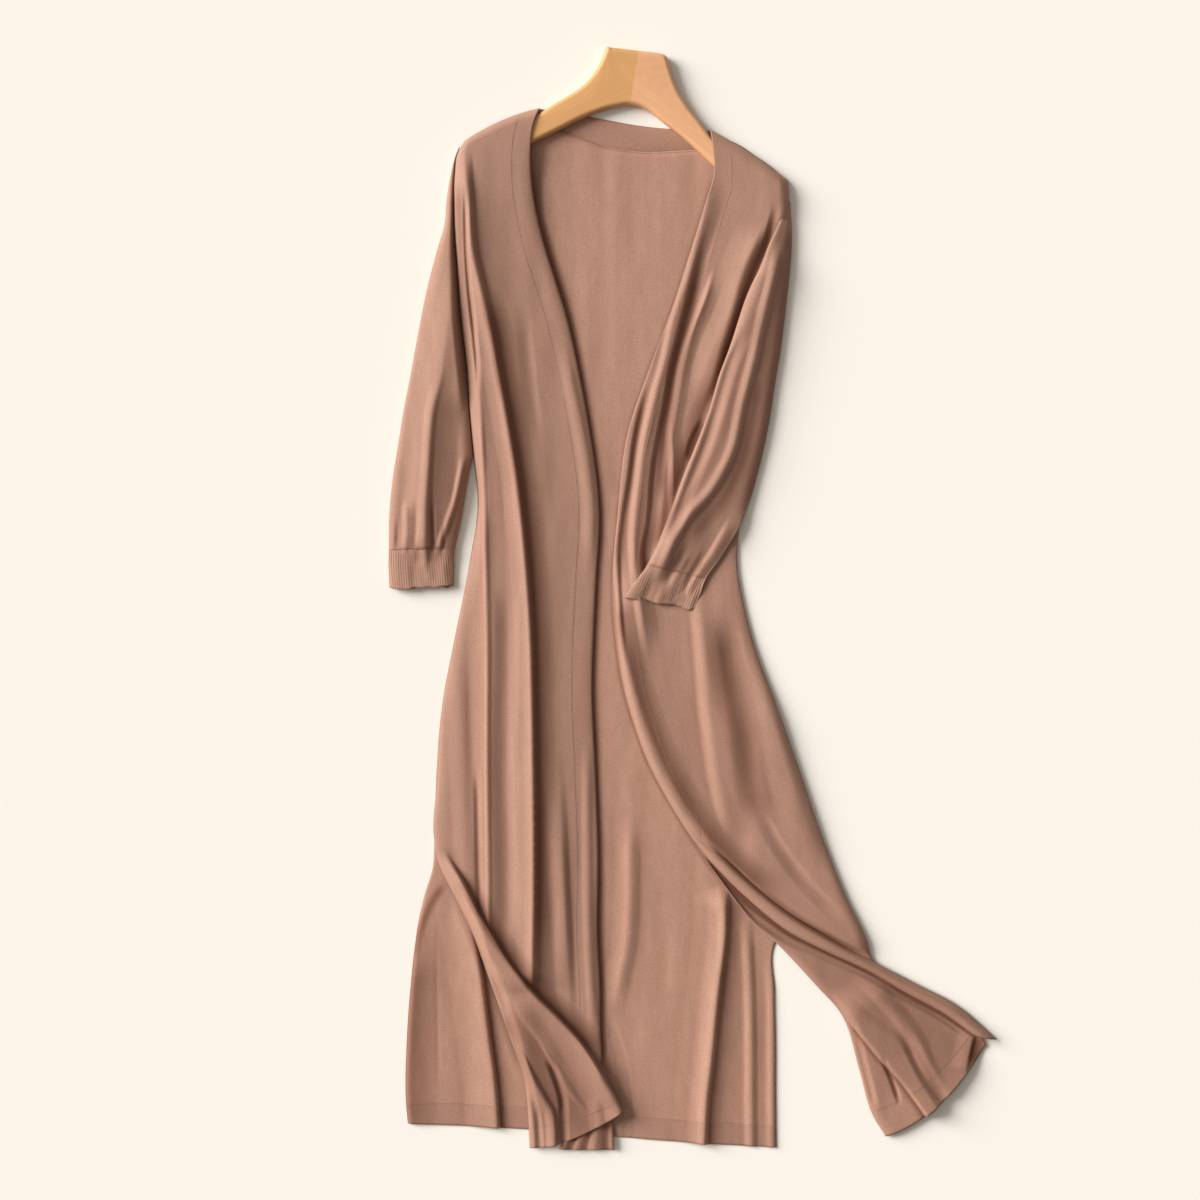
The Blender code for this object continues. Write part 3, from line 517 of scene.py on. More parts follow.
back = {
    "levels": table("y right left", [  # how far the panel reaches at each height
        (560, -259, 108), (514, -258.2, 108), (500, -265.2, 108), (478, -268.2, 108), (430, -269.2, 109),
        (370, -265.2, 104.5), (312, -261.2, 95), (262, -255.2, 88), (205, -251.2, 78), (160, -247, 67),
        (107, -242, 57), (44, -250, 49), (-40, -267, 65), (-120, -282, 92), (-204, -289, 122),
        (-275, -291, 146), (-305, -293, 151), (-335, -302, 137), (-362, -308, 112), (-389, -312, 94),
        (-445, -318, 93), (-506, -322, 94), (-562, -323, 94), (-630, -316, 95),
    ]),
    "top": table("x y", [
        (-262, 510), (-240, 525), (-204, 539), (-172, 533), (-145, 525), (-120, 516), (-95, 508), (-59, 503),
        (-16, 504), (25, 508), (47, 512), (68, 500), (88, 486), (107, 469),
    ]),
    "hem": table("x y", [
        (-323, -593), (-235, -597), (-184, -600), (-78, -609), (22, -616), (95, -620),
    ]),
    "neckEdge": table("x y", [
        (-172, 551), (-149, 548), (-110, 541), (-66, 533), (-32, 529), (-3, 528), (20, 526),
    ]),
    "neckRight": 0.172,  # where the neck band meets the shoulder seams, as parts of the width
    "neckLeft": 0.845,
    "folds": [
        fold(backRidge, 4.0, 9, 18, 0, 1.5, lean=2, fade=60, fadeIn=26),
        fold(backRidge, 5.0, 34, 34, 3.0, 2.0, fade=60, fadeIn=26),
        fold([(60, -350), (63, -400), (65, -452), (66, -520), (66, -576), (68, -680)], 2.5, 7, 10),
        fold([(88, -400), (91, -452), (91, -520), (91, -680)], 2.0, 5, 10),
        fold([(-72, -240), (-71, -317), (-74, -385), (-82, -430), (-90, -480)], 3.0, 14, 18, 0, 1.5),
        fold([(-97, -470), (-88, -500), (-80, -530), (-74, -570), (-70, -680)], -2.5, 9, 8),
        fold([(-300, -330), (-308, -360), (-315, -400), (-319, -452), (-321, -520), (-319, -680)], 3.5, 50, 5,
            1.6),
        fold([(-262, -330), (-246, -400), (-238, -452), (-232, -500), (-226, -545), (-222, -600),
            (-220, -690)], 6.5, 7, 34, 0, 1.0, lean=2),
        fold([(-289, -366), (-288, -440), (-287, -520), (-286, -566)], -0.5, 3, 3),
    ],
    "shadeLines": [  # painted shade under the fronts' edges and beside the folds
        shadeLine([(-178, 520), (-176, 440), (-165, 400), (-138, 306), (-116, 190), (-105, 100), (-109, 10),
            (-113, -100), (-109, -200), (-106, -290), (-105, -374), (-104, -437), (-103, -500), (-95, -545)],
            9, 20, 0.9),
        shadeLine([(24, 479), (16, 448), (-2, 390), (-23, 325), (-49, 256), (-74, 180), (-84, 94), (-90, 15),
            (-85, -62), (-74, -118), (-50, -187), (-14, -251), (19, -303), (58, -346), (102, -382)], 20, 4,
            0.55),
        shadeLine([(-276, -318), (-290, -338), (-302, -362), (-310, -388), (-316, -430)], 7, 7, 0.9),
        shadeLine([(-312, -380), (-320, -445), (-324, -506), (-325, -562), (-324, -640)], 42, 6, 0.75),
        shadeLine([(-306, -350), (-314, -389), (-320, -445), (-324, -506), (-325, -562), (-319, -640)], 7, 6,
            1.25),
        shadeLine([(-272, -330), (-250, -374), (-226, -437), (-205, -496), (-190, -540)], 10, 9, 0.6),
        shadeLine([(26, -290), (34, -330), (40, -380), (32, -440), (22, -520)], 5, 5, 0.5),
    ],
    "length": 1135.0,
    "split": 0.7,  # the folds below it need closer rows
    "columns": 196,
    "rows": (110, 125),  # above the split and below it
    "hemRows": 10,
    "edgeRoll": 6.0,
    "bandRows": 12,
    "seamCells": (0.0003, 0.015, 0.012),  # first cell of the panel, the hem and the band
    "bandColumns": 160,
    "bandRise": 1.2,
}


def backSurface(s, t):
    top, hem, levels = back["top"], back["hem"], back["levels"]
    topX = top["x"][0] + (top["x"][-1] - top["x"][0]) * t
    topY = follow(top["x"], top["y"], topX)
    hemX = hem["x"][0] + (hem["x"][-1] - hem["x"][0]) * t
    hemY = follow(hem["x"], hem["y"], hemX)
    y = topY + (hemY - topY) * s
    right, left = follow(levels["y"], levels["right"], y), follow(levels["y"], levels["left"], y)
    x = right + (left - right) * t
    flat = np.stack([x, y, np.full_like(x, floorZ)], -1)
    shift = foldShift(back["folds"], x, y)
    shift[..., 2] += cloth["waveHeight"] * (1 + waves(x, y, 3))
    shift[..., 2] = np.maximum(shift[..., 2], 0)
    edge = 1 - drop(np.minimum(x - right, left - x), back["edgeRoll"])
    return flat + shift * edge[..., None]


def neckBandSurface(s, t):
    edge = back["neckEdge"]
    at = (t - back["neckRight"]) / (back["neckLeft"] - back["neckRight"]) * (len(edge["x"]) - 1)
    edgeX, edgeY = down(edge, "x", at), down(edge, "y", at)
    seam = backSurface(np.zeros_like(t), t)
    x = edgeX + (seam[..., 0] - edgeX) * s
    y = edgeY + (seam[..., 1] + gap - edgeY) * s
    z = floorZ + back["bandRise"] * np.sin(np.pi * s) ** 0.5
    return np.stack([x, y, z], -1)


def makeBack():
    length, split, shadeLines = back["length"], back["split"], back["shadeLines"]
    panelCell, hemCell, bandCell = back["seamCells"]
    hemPart = hemDepth / length
    columns = np.linspace(0, 1, back["columns"])
    above, below = back["rows"]
    rows = np.concatenate([np.linspace(0, split, above)[:-1], np.linspace(split, 1, below)])
    s, t = patch(tightEnds(rows, 0, panelCell), columns, 0, 1 - hemPart - gap / 2 / length)
    points = backSurface(s, t)
    panel = clothPiece("backPanel", points, inside, ["back"], upright=True, shadeLines=shadeLines)
    rows = tightEnds(np.linspace(0, 1, back["hemRows"]), hemCell, 0)
    s, t = patch(rows, columns, 1 - hemPart + gap / 2 / length, 1)
    points = backSurface(s, t)
    hem = clothPiece("backHem", points, rib, ["back_hem"], upright=True, shadeLines=shadeLines)
    rows = tightEnds(np.linspace(0, 1, back["bandRows"]), 0, bandCell)
    s, t = patch(rows, np.linspace(back["neckRight"], back["neckLeft"], back["bandColumns"]))
    band = clothPiece("backNeckBand", neckBandSurface(s, t), rib, ["back_neck_band"])
    run = np.linspace(stitch["clear"], 1 - stitch["clear"], stitch["stops"])
    stitchRow("backHemStitches", backSurface(np.full_like(run, 1 - hemPart - stitch["inset"] / length), run))
    run = back["neckRight"] + (back["neckLeft"] - back["neckRight"]) * run
    stitchRow("neckStitches", backSurface(np.full_like(run, stitch["inset"] / length), run))
    return [panel, hem, band]


rightCrest = [
    (-256, 505), (-253, 440), (-249, 390), (-239, 345), (-228, 300), (-218, 245), (-210, 199), (-200, 140),
    (-194, 87), (-188, 20), (-184, -47), (-182, -118), (-181, -182), (-180, -250), (-180, -330), (-181, -400),
    (-181, -444),
]

rightFront = {
    "name": "rightFront",
    "nodes": "right_front",
    "side": table("y x z", [  # its outer edge
        (514, -257, seat), (500, -264, 4), (478, -267, 5), (430, -268, 6.5), (370, -264, 6.5),
        (312, -260, 6.5), (262, -254, 6.5), (205, -250, 6), (160, -246, 4), (107, -241, seat),
        (44, -250, seat), (-40, -266, seat), (-120, -281, seat), (-204, -287, seat), (-270, -291, seat),
        (-300, -286, 3.2), (-330, -272, 4), (-374, -250, 5), (-437, -226, 5), (-496, -205, 5),
        (-540, -190, 5), (-580, -185, 5), (-620, -183, 4),
    ]),
    "sections": table("sideY edgeX edgeY crown edgeZ bow", [  # from its side to the open edge, row by row
        (514, -172, 551, 15.4, 15.4, -5), (478, -181, 521, 15.4, 15.2, -3), (430, -181, 468, 13.2, 11, -1),
        (370, -169, 405, 10.8, 7, 0), (290, -139, 306, 9, 5, 0), (200, -116, 190, 7.6, 4.2, 0),
        (110, -105, 100, 7, 4, 0), (10, -109, 10, 7, 4, 0), (-100, -113, -100, 7, 4, 0),
        (-200, -109, -200, 7, 4, 0), (-300, -106, -290, 7, 4, 0), (-374, -107, -374, 7.5, 4, 0),
        (-437, -104, -437, 8, 4, 0), (-496, -103, -496, 8.5, 4.5, 0), (-540, -96, -540, 9.5, 8.5, 0),
        (-580, -87, -559, 9.5, 9, 3), (-620, -79, -576, 8.5, 9, 10),
    ]),
    "ribbon": table("seamX seamY freeX freeY z", [  # the band from the crossing on
        (-134, -496, -108, -496, 4.6), (-130, -541, -102, -541, 4.5), (-130, -581, -92, -581, 4.4),
        (-150, -622, -88, -622, 4.4),
    ]),
    "crossing": 13,  # row where the band leaves the panel's edge
    "ribbonRoll": 1.5,
    "ribbonTilt": 0.0,
    "ripple": 1.6,
    "hemRow": 15.45,
    "parting": 12.95,  # row from which the panel reaches under the band
    "partingRows": 0.9,
    "folds": [
        fold(rightCrest, 6.5, 9.5, 17, 0, 2.0, lean=0.6, fade=24, fadeIn=60),
        fold(rightCrest, 7.0, 66, 70, 2.2, fade=24, fadeIn=130),
        fold([(-243, 330), (-238, 200), (-234, 87), (-231, -47), (-231, -182), (-230, -295), (-229, -400),
            (-227, -440)], 4.5, 22, 22, 1.5, 2.0),
        fold([(-239, 220), (-234, 87), (-231, -47), (-231, -182), (-230, -295), (-229, -400)], 1.3, 5, 4),
        fold([(-211, 20), (-209, -47), (-211, -182), (-210, -295), (-208, -400)], -3.0, 15, 15),
        fold([(-243, -190), (-242, -240), (-241, -295), (-240, -370)], -2.0, 3.5, 5, fade=40),
        fold([(-264, -60), (-259, -182), (-254, -295), (-248, -370)], 2.0, 12, 18),
        fold([(-154, -170), (-149, -250), (-147, -300), (-143, -380), (-139, -450), (-133, -510)], 3.8, 9, 17,
            fade=150),
        fold([(-190, 340), (-187, 290), (-180, 220), (-172, 160)], -1.2, 9, 12),
        fold([(-146, 290), (-136, 240), (-127, 200), (-118, 150), (-113, 100), (-116, 20)], 1.8, 7, 14),
        fold([(-255, 470), (-255, 430), (-254, 390), (-251, 345), (-246, 300), (-242, 260), (-240, 225)],
            -3.0, 5, 3.5, fade=50),
        fold([(-118, -160), (-118, -250), (-117, -350), (-114, -430), (-108, -500)], 1.5, 7, 9),
        fold([(-284, -285), (-262, -322), (-240, -362), (-222, -392), (-206, -417), (-181, -447),
            (-153, -475), (-129, -502), (-109, -532), (-93, -556), (-82, -576), (-78, -620), (-76, -700)],
            9.5, 7, 30, 0, 0.5, lean=3, fade=45),
        fold([(-262, -330), (-240, -378), (-215, -430), (-196, -480), (-184, -530), (-180, -600)], 7.0, 52,
            10, 0.6, fade=45),
        fold([(-204, -450), (-190, -470), (-168, -500), (-150, -534), (-132, -562), (-114, -578)], 2.2, 14, 5,
            fade=25),
        fold([(-165, -515), (-156, -534), (-147, -563), (-146, -590), (-144, -650)], -3.5, 8, 6, fade=25),
        fold([(-204, -490), (-193, -515), (-180, -542), (-167, -565), (-158, -587), (-156, -650)], 4.0, 7, 9,
            lean=1.0, fade=25),
        fold([(-192, -525), (-185, -545), (-178, -570), (-174, -590), (-171, -650)], -2.5, 6, 6, fade=25),
        fold([(-112, -560), (-106, -590), (-104, -650)], 1.8, 8, 12, fade=20),
    ],
    # painted shade along these lines
    "shadeLines": [
        shadeLine([(-262, -314), (-240, -354), (-222, -384), (-203, -409), (-178, -440), (-150, -468),
            (-125, -494), (-104, -522)], 20, 6),
        shadeLine([(-240, 350), (-226, 300), (-216, 245), (-206, 199), (-197, 140), (-189, 87), (-182, 20),
            (-178, -47), (-177, -118), (-176, -182), (-175, -330), (-175, -440)], 24, 6, 0.9),
        shadeLine([(-166, -512), (-158, -534), (-149, -563), (-147, -590)], 5, 5, 0.9),
        shadeLine([(-262, 470), (-262, 430), (-259, 345), (-253, 260), (-249, 205)], 8, 5, 0.6),
        shadeLine([(-214, -450), (-190, -490), (-160, -530), (-130, -580), (-120, -640)], 46, 54, 0.56),
    ],
}

leftFront = {
    "name": "leftFront",
    "nodes": "left_front",
    "side": table("y x z", [
        (470, 107, seat), (440, 108, 4), (390, 105, 4), (330, 97.5, 4), (270, 88, 4), (210, 78, 4),
        (150, 64, 3.4), (90, 54, seat), (40, 50, seat), (-10, 58, seat), (-59, 71, seat), (-123, 95, seat),
        (-197, 121, seat), (-275, 148, seat), (-340, 174, seat), (-385, 196, seat), (-412, 206, 3),
        (-435, 236, 3), (-453, 268, 3), (-471, 299, 3), (-485, 318, 3), (-504, 331, 3),
    ]),
    "sections": table("sideY edgeX edgeY crown edgeZ bow", [
        (470, 20, 527, 15.4, 15.4, -3), (432, 24, 479, 15, 15.4, -2), (390, 16, 448, 9, 12, 0),
        (330, -2, 390, 6.5, 8, 0), (270, -23, 325, 5.5, 6, 0), (210, -49, 256, 5.5, 5, 0),
        (150, -74, 180, 5.5, 4.5, 0), (90, -84, 94, 5.5, 4, 0), (20, -90, 15, 5.5, 4, 0),
        (-59, -85, -62, 7, 4, 0), (-123, -74, -118, 8, 4, 0), (-197, -50, -187, 8, 4, 0),
        (-275, -14, -251, 8.5, 4, 0), (-340, 19, -300, 9, 6.5, 0), (-385, 62, -358, 9, 6, 0),
        (-412, 100, -394, 9.5, 4.5, 0), (-435, 140, -437, 9.5, 4, 0), (-453, 171, -474, 9, 3.5, 2),
        (-471, 188, -530, 8, 3, 9), (-485, 201, -577, 7.2, 2.6, 14), (-504, 218, -607, 6.6, 2.6, 18),
    ]),
    "ribbon": table("seamX seamY freeX freeY z", [
        (10, -264, -11, -256, 9), (43, -300, 27, -304, 10.5), (78, -332, 64, -340, 11),
        (116, -361, 106, -374, 11), (160, -387, 151, -398, 11), (205, -411, 197, -420, 11),
        (251, -435, 241, -445, 11), (298, -460, 283, -468, 10.5), (343, -498, 320, -494, 9.5),
    ]),
    "crossing": 12,
    "ribbonRoll": 4.0,
    "ribbonTilt": 5.5,
    "ripple": 0.0,
    "hemRow": 19.1,
    "parting": 12.0,
    "partingRows": 0.8,
    "folds": [
        fold([(27, 478), (18, 448), (5, 402), (-7, 357), (-22, 312), (-31, 267), (-43, 222), (-54, 177),
            (-60, 132), (-65, 87), (-65, 42), (-56, -25), (-48, -70)], 4.5, 16, 9, 1.0),
        fold([(26, 436), (10, 385), (-4, 328), (-21, 260), (-28, 217), (-36, 177), (-42, 140), (-46, 87),
            (-53, 42), (-44, -10)], -6.0, 12, 7, fade=50, fadeIn=130),
        fold([(26, 372), (13, 335), (-11, 274), (-22, 215), (-26, 190), (-24, 166), (-23, 130), (-24, 90)],
            4.5, 14, 5, 1.2, lean=1.0, fade=40),
        fold([(84, 426), (67, 395), (53, 362), (42, 321), (30, 281), (19, 240), (8, 215)], 5.5, 12, 26, 0,
            1.6, lean=1, fade=40),
        fold([(96, 445), (85, 402), (67, 357), (51, 312), (38, 267), (33, 235), (20, 195)], -4.0, 7, 7,
            fade=40),
        fold([(16, 200), (6, 182), (0, 166), (-4, 150)], -4.5, 9, 9, fade=14),
        fold([(-46, 250), (-56, 215), (-64, 177), (-70, 132), (-77, 87), (-81, 42), (-78, -20), (-71, -75)],
            -4.5, 14, 5, 1.5, fade=60),
        fold([(-84, 60), (-81, 0), (-77, -62), (-67, -118), (-43, -187), (-8, -254), (18, -290), (44, -318)],
            7.0, 64, 8, 2.6, fade=70),
        fold([(-10, -252), (40, -300), (76, -334), (116, -363), (161, -386), (208, -410)], 3.0, 50, 3, 1.6,
            fade=40),
        fold([(20, -278), (42, -300), (78, -334), (117, -362), (162, -385), (207, -408)], -4.0, 4, 4,
            fade=25),
        fold([(7, 20), (10, -25), (15, -92), (22, -160), (34, -227), (54, -275)], 5.0, 52, 14, 1.8, lean=1),
        fold([(36, -10), (42, -48), (53, -122), (60, -180), (64, -216), (72, -256)], -2.2, 18, 18),
        fold([(40, -100), (60, -190), (84, -260), (112, -320)], 4.0, 95, 40, 0.8, fade=60),
        fold([(74, -236), (95, -276), (124, -317), (147, -341), (172, -366)], -2.2, 9, 12, fade=40),
        fold([(6, -286), (20, -306), (57, -346), (101, -381), (148, -402), (195, -423), (239, -448),
            (281, -471), (319, -497)], -3.5, 6, 8, fade=30),
        fold([(72, -30), (88, -110), (100, -170), (118, -250), (142, -320)], 2.0, 16, 24),
        fold([(-40, -250), (20, -296), (66, -340), (107, -371), (154, -395), (200, -418), (246, -443),
            (291, -468), (332, -500), (420, -560)], -5.5, 20, 46),
        fold([(158, -442), (177, -472), (210, -514), (238, -545), (268, -586), (286, -612)], 9.0, 90, 5, 0.5,
            fade=40),
        fold([(321, -482), (313, -508), (306, -535)], 2.5, 3, 20, fade=8),
        fold([(184, -424), (218, -456), (244, -488), (262, -525), (276, -556)], 2.8, 14, 11, fade=40),
        fold([(232, -484), (244, -504), (260, -535), (280, -566), (296, -590)], -4.0, 13, 10, fade=35),
        fold([(213, -515), (224, -542), (235, -573)], -2.5, 4, 5, fade=14),
        fold([(178, -476), (188, -510), (197, -545), (206, -580)], -2.0, 7, 5, fade=20),
    ],
    # painted shade along these lines
    "shadeLines": [
        shadeLine([(6, -282), (27, -306), (63, -342), (105, -376), (150, -399), (197, -420), (241, -446),
            (283, -469), (320, -495)], 3, 6, 1.2),
        shadeLine([(10, -264), (43, -300), (78, -332), (116, -361), (160, -387), (205, -410)], 8, 5),
        shadeLine([(23, -304), (44, -326), (63, -346), (86, -364), (111, -381), (146, -398)], 5, 5.5, 1.2),
        shadeLine([(320, -486), (314, -507), (307, -534)], 26, 2.5, 1.15),
        shadeLine([(90, -374), (149, -400), (196, -422), (240, -448), (282, -471), (308, -488), (330, -504)], 4,
            4, 1.2),
        shadeLine([(160, -438), (190, -462), (214, -480), (238, -500), (256, -530)], 9, 14, 0.5),
        shadeLine([(100, -390), (200, -440), (262, -500), (292, -560)], 60, 95, 0.34),
        shadeLine([(59, -342), (103, -376), (150, -398), (197, -420), (241, -446), (283, -469), (320, -495)], 4,
            15, 0.5),
        shadeLine([(-80, 0), (-80, -29), (-73, -66), (-50, -141), (-24, -201), (6, -250), (32, -284),
            (62, -312), (100, -345)], 22, 5, 0.85),
        shadeLine([(24, -16), (34, -72), (48, -132), (59, -184), (65, -218), (73, -262)], 26, 20, 0.7),
        shadeLine([(106, 436), (97, 412), (87, 388), (74, 358), (36, 272), (12, 210), (-3, 165), (-20, 125),
            (-36, 75), (-58, 28)], 5, 17),
        shadeLine([(18, 408), (-3, 328), (-20, 260), (-27, 217), (-33, 183), (-35, 140), (-37, 80)], 12, 8),
        shadeLine([(14, 196), (4, 178), (-2, 162), (-5, 148)], 9, 10),
        shadeLine([(213, -515), (224, -542), (235, -573)], 3, 4, 0.9),
        shadeLine([(236, -490), (254, -516), (270, -545), (284, -570)], 11, 8, 0.55),
        shadeLine([(-76, 5), (-40, -2), (0, -12)], 14, 8, 0.7),
    ],
}

front = {
    "roll": 14.0,  # how far in from an edge the cloth has risen to its full height
    "shoulderRoll": 13.0,
    "lowest": 1.9,
    "highest": 24.5,
    "softLimit": 0.8,
    "edgePart": 0.12,  # closer columns up to here
    "columns": (18, 118),
    "shoulderRow": 0.8,  # closer rows up to here
    "rows": (24, 302),
    "hemRows": 12,
    "bandColumns": 16,
    "riseRows": 0.8,  # over which the band climbs onto the panel
    "settleRows": 3.0,  # over which its ripple and its tilt set in
    "ribbonArch": 0.7,  # how much of the ribbon's roll lies above its height
    "pleats": (21.0, 1.5, 4.0),  # radians across the band, and how far and how fast that drifts
    "seamColumn": 0.002,
    "bandSeamColumn": 0.012,
    "bandStops": 1200,
    "bandClear": (0.3, 0.1),  # rows without stitches at the shoulder and at the crossing
    "hemClear": 0.02,
}


def frontShape(piece):
    side, sections, ribbon = piece["side"], piece["sections"], piece["ribbon"]

    def span(s):  # where a row starts and ends, and its width
        sideY = down(sections, "sideY", s)
        sideX = follow(side["y"], side["x"], sideY)
        edgeX, edgeY = down(sections, "edgeX", s), down(sections, "edgeY", s)
        return sideX, sideY, edgeX, edgeY, np.hypot(edgeX - sideX, edgeY - sideY)

    def surface(s, t):
        sideX, sideY, edgeX, edgeY, width = span(s)
        sideZ = follow(side["y"], side["z"], sideY)
        edgeZ, crown = down(sections, "edgeZ", s), down(sections, "crown", s)
        x = sideX + (edgeX - sideX) * t
        y = sideY + (edgeY - sideY) * t - down(sections, "bow", s) * 4 * t * (1 - t)
        atSide, atEdge = drop(t * width, front["roll"]), drop((1 - t) * width, front["roll"])
        shift = foldShift(piece["folds"], x, y)
        shift[..., 2] += cloth["waveHeight"] * waves(x, y, 5)
        shift *= ((1 - atSide) * (1 - atEdge))[..., None]
        z = crown - (crown - sideZ) * atSide - (crown - edgeZ) * atEdge
        point = np.stack([x, y, z], -1) + shift
        point[..., 2] = between(point[..., 2], front["lowest"], front["highest"], front["softLimit"])
        point[..., 2] -= (point[..., 2] - seat) * drop(s * rowLength, front["shoulderRoll"])
        return point

    def inFromEdge(s, distance):  # the place this far in from the open edge
        return 1 - distance / span(s)[-1]

    def band(s, t):
        beside = surface(s, 1 - (1 - inFromEdge(s, bandWidth - gap / 2)) * (1 - t))
        row = s - piece["crossing"]
        pleats, drift, driftSpeed = front["pleats"]
        over, above = ease(row)[..., None], ease(row / front["riseRows"])
        seamX, seamY = down(ribbon, "seamX", row), down(ribbon, "seamY", row)
        x = seamX + (down(ribbon, "freeX", row) - seamX) * t
        y = seamY + (down(ribbon, "freeY", row) - seamY) * t
        z = down(ribbon, "z", row) + piece["ribbonRoll"] * (front["ribbonArch"] - (2 * t - 1) ** 2)
        settled = row / front["settleRows"]
        z = z + piece["ripple"] * ease(settled) * np.sin(pleats * t + drift * np.sin(driftSpeed * t))
        z = z - piece["ribbonTilt"] * ease(settled - 1) * (1 - t) ** 2
        flat = beside[..., :2] * (1 - over) + np.stack([x, y], -1) * over
        return np.concatenate([flat, (beside[..., 2] * (1 - above) + z * above)[..., None]], -1)

    return surface, inFromEdge, band


def makeFront(piece):
    surface, inFromEdge, band = frontShape(piece)
    name, node, shadeLines, hemRow = piece["name"], piece["nodes"], piece["shadeLines"], piece["hemRow"]
    lastRow = len(piece["sections"]["sideY"]) - 1
    halfGap = gap / 2 / rowLength
    (few, many), (close, wide) = front["rows"], front["columns"]
    columns = [np.linspace(0, front["edgePart"], close), np.linspace(front["edgePart"], 1, wide)]
    columns = tightEnds(np.unique(np.concatenate(columns)), 0, front["seamColumn"])
    top = front["shoulderRow"]
    body = np.concatenate([np.linspace(0, top, few)[:-1], np.linspace(top, hemRow - halfGap, many)])
    body = tightEnds(body, 0, seamRow)
    hem = tightEnds(np.linspace(hemRow + halfGap, lastRow, front["hemRows"]), seamRow, 0)

    def panel(rows):  # up to the band's seam, and on under the band where they part
        s, t = patch(rows, columns)
        seam = inFromEdge(s, bandWidth + gap / 2)
        return surface(s, t * (seam + (1 - seam) * ease((s - piece["parting"]) / piece["partingRows"])))

    across = tightEnds(np.linspace(0, 1, front["bandColumns"]), front["bandSeamColumn"], 0)
    s, t = patch(np.concatenate([body, hem]), across)
    pieces = [
        clothPiece(name + "Panel", panel(body), knit, [node], shadeLines=shadeLines),
        clothPiece(name + "Hem", panel(hem), rib, [node + "_hem"], shadeLines=shadeLines),
        clothPiece(name + "Band", band(s, t), rib, [node + "_band"], shadeLines=shadeLines),
    ]
    firstRow, beforeCrossing = front["bandClear"]
    along = np.linspace(firstRow, piece["crossing"] - beforeCrossing, front["bandStops"])
    stitchRow(name + "BandStitches", surface(along, inFromEdge(along, bandWidth + stitch["inset"])))
    run = np.linspace(front["hemClear"], 1 - front["hemClear"], stitch["stops"])
    stitchRow(name + "HemStitches", surface(np.full_like(run, hemRow - stitch["inset"] / rowLength), run))
    return pieces


rightSleeve = {
    "name": "rightSleeve",
    "nodes": ("right_sleeve", "right_cuff"),
    "side": rightFront["side"],
    "foldedOver": False,  # a plain tube, or one sewn to the front beneath it
    "cuffRow": 12.0,
    "tilt": 0.0,
    "cuts": table("outerX outerY innerX innerY topZ innerZ", [
        (-262.5, 508, -257, 505, 2.6, 2.4), (-269.5, 488, -260, 488, 6, 5), (-276, 452, -260, 452, 9.5, 6),
        (-279, 420, -260, 420, 11, 6.5), (-288, 388, -258, 388, 12, 6.5), (-299, 345, -258, 345, 12, 6.5),
        (-308, 300, -252, 300, 12, 6.5), (-316, 256, -250, 256, 12, 6.5), (-324.5, 212, -246, 212, 12, 6),
        (-331, 172, -246, 172, 12, 4.5), (-337, 135, -253, 135, 12, seat), (-341, 93, -260, 93, 11.5, seat),
        (-341.5, 54, -268, 54, 10, seat), (-342, 33, -269, 35, 9, seat), (-341, 10, -269, 13, 9, seat),
    ]),
    "folds": [
        fold([(-268, 480), (-272, 413), (-273, 379), (-272, 334), (-270, 289), (-265, 244), (-258, 200)], 3.5,
            8, 26, 0, 1.5, lean=1, fade=40),
        fold([(-264, 470), (-266, 440), (-268, 413), (-267, 379), (-263, 334), (-259, 289), (-254, 244),
            (-252, 205)], -4.0, 5, 5, fade=30),
        fold([(-268, 400), (-274, 340), (-279, 290), (-285, 244), (-293, 199), (-298, 154), (-302, 109),
            (-304, 70), (-305, 40)], 8.0, 32, 28, 1.0, lean=1.5, fade=30, fadeIn=150),
        fold([(-281, 262), (-287, 238), (-295, 202), (-299, 139), (-301, 97), (-301, 54), (-302, 24)], 2.4, 6,
            10, fade=25, fadeIn=60),
        fold([(-256, 160), (-266, 112), (-277, 80), (-285, 56), (-287, 44)], 3.0, 5, 6, fade=22),
        fold([(-322, 112), (-322, 76), (-323, 56), (-324, 44)], 2.2, 5, 6, fade=22),
        fold([(-293, 120), (-293, 84), (-292, 60), (-292, 47)], -2.0, 4, 5, fade=15, fadeIn=40),
        fold([(-279, 90), (-280, 66), (-281, 50)], -1.6, 3.5, 4, fade=15, fadeIn=30),
        fold([(-312, 120), (-313, 74), (-314, 50)], -1.9, 4, 5, fade=15, fadeIn=40),
        fold([(-331, 96), (-332, 70), (-333, 50)], -1.4, 4, 4, fade=15, fadeIn=30),
    ],
    # painted shade along these lines
    "shadeLines": [
        shadeLine([(-264, 470), (-266, 440), (-267, 400), (-263, 334), (-257, 265), (-252, 205)], 4, 6, 0.8),
        shadeLine([(-342, 53), (-305, 55), (-269, 56)], 3, 4, 0.8),
        shadeLine([(-293, 110), (-293, 76), (-292, 50)], 5, 4, 0.45),
        shadeLine([(-312, 104), (-313, 76), (-314, 50)], 4, 4, 0.4),
        shadeLine([(-279, 86), (-280, 68), (-281, 50)], 4, 4, 0.35),
    ],
}
for name, height in {"startZ": floorZ, "underZ": 0.0, "endZ": 0.0, "seam": 0.0}.items():
    rightSleeve["cuts"][name] = np.full_like(rightSleeve["cuts"]["topZ"], height)

leftArmCrest = [
    (98, 400), (88, 357), (74, 301), (67, 267), (54, 217), (43, 166), (20, 122), (-4, 95), (-21, 68),
    (-34, 38), (-44, 12),
]

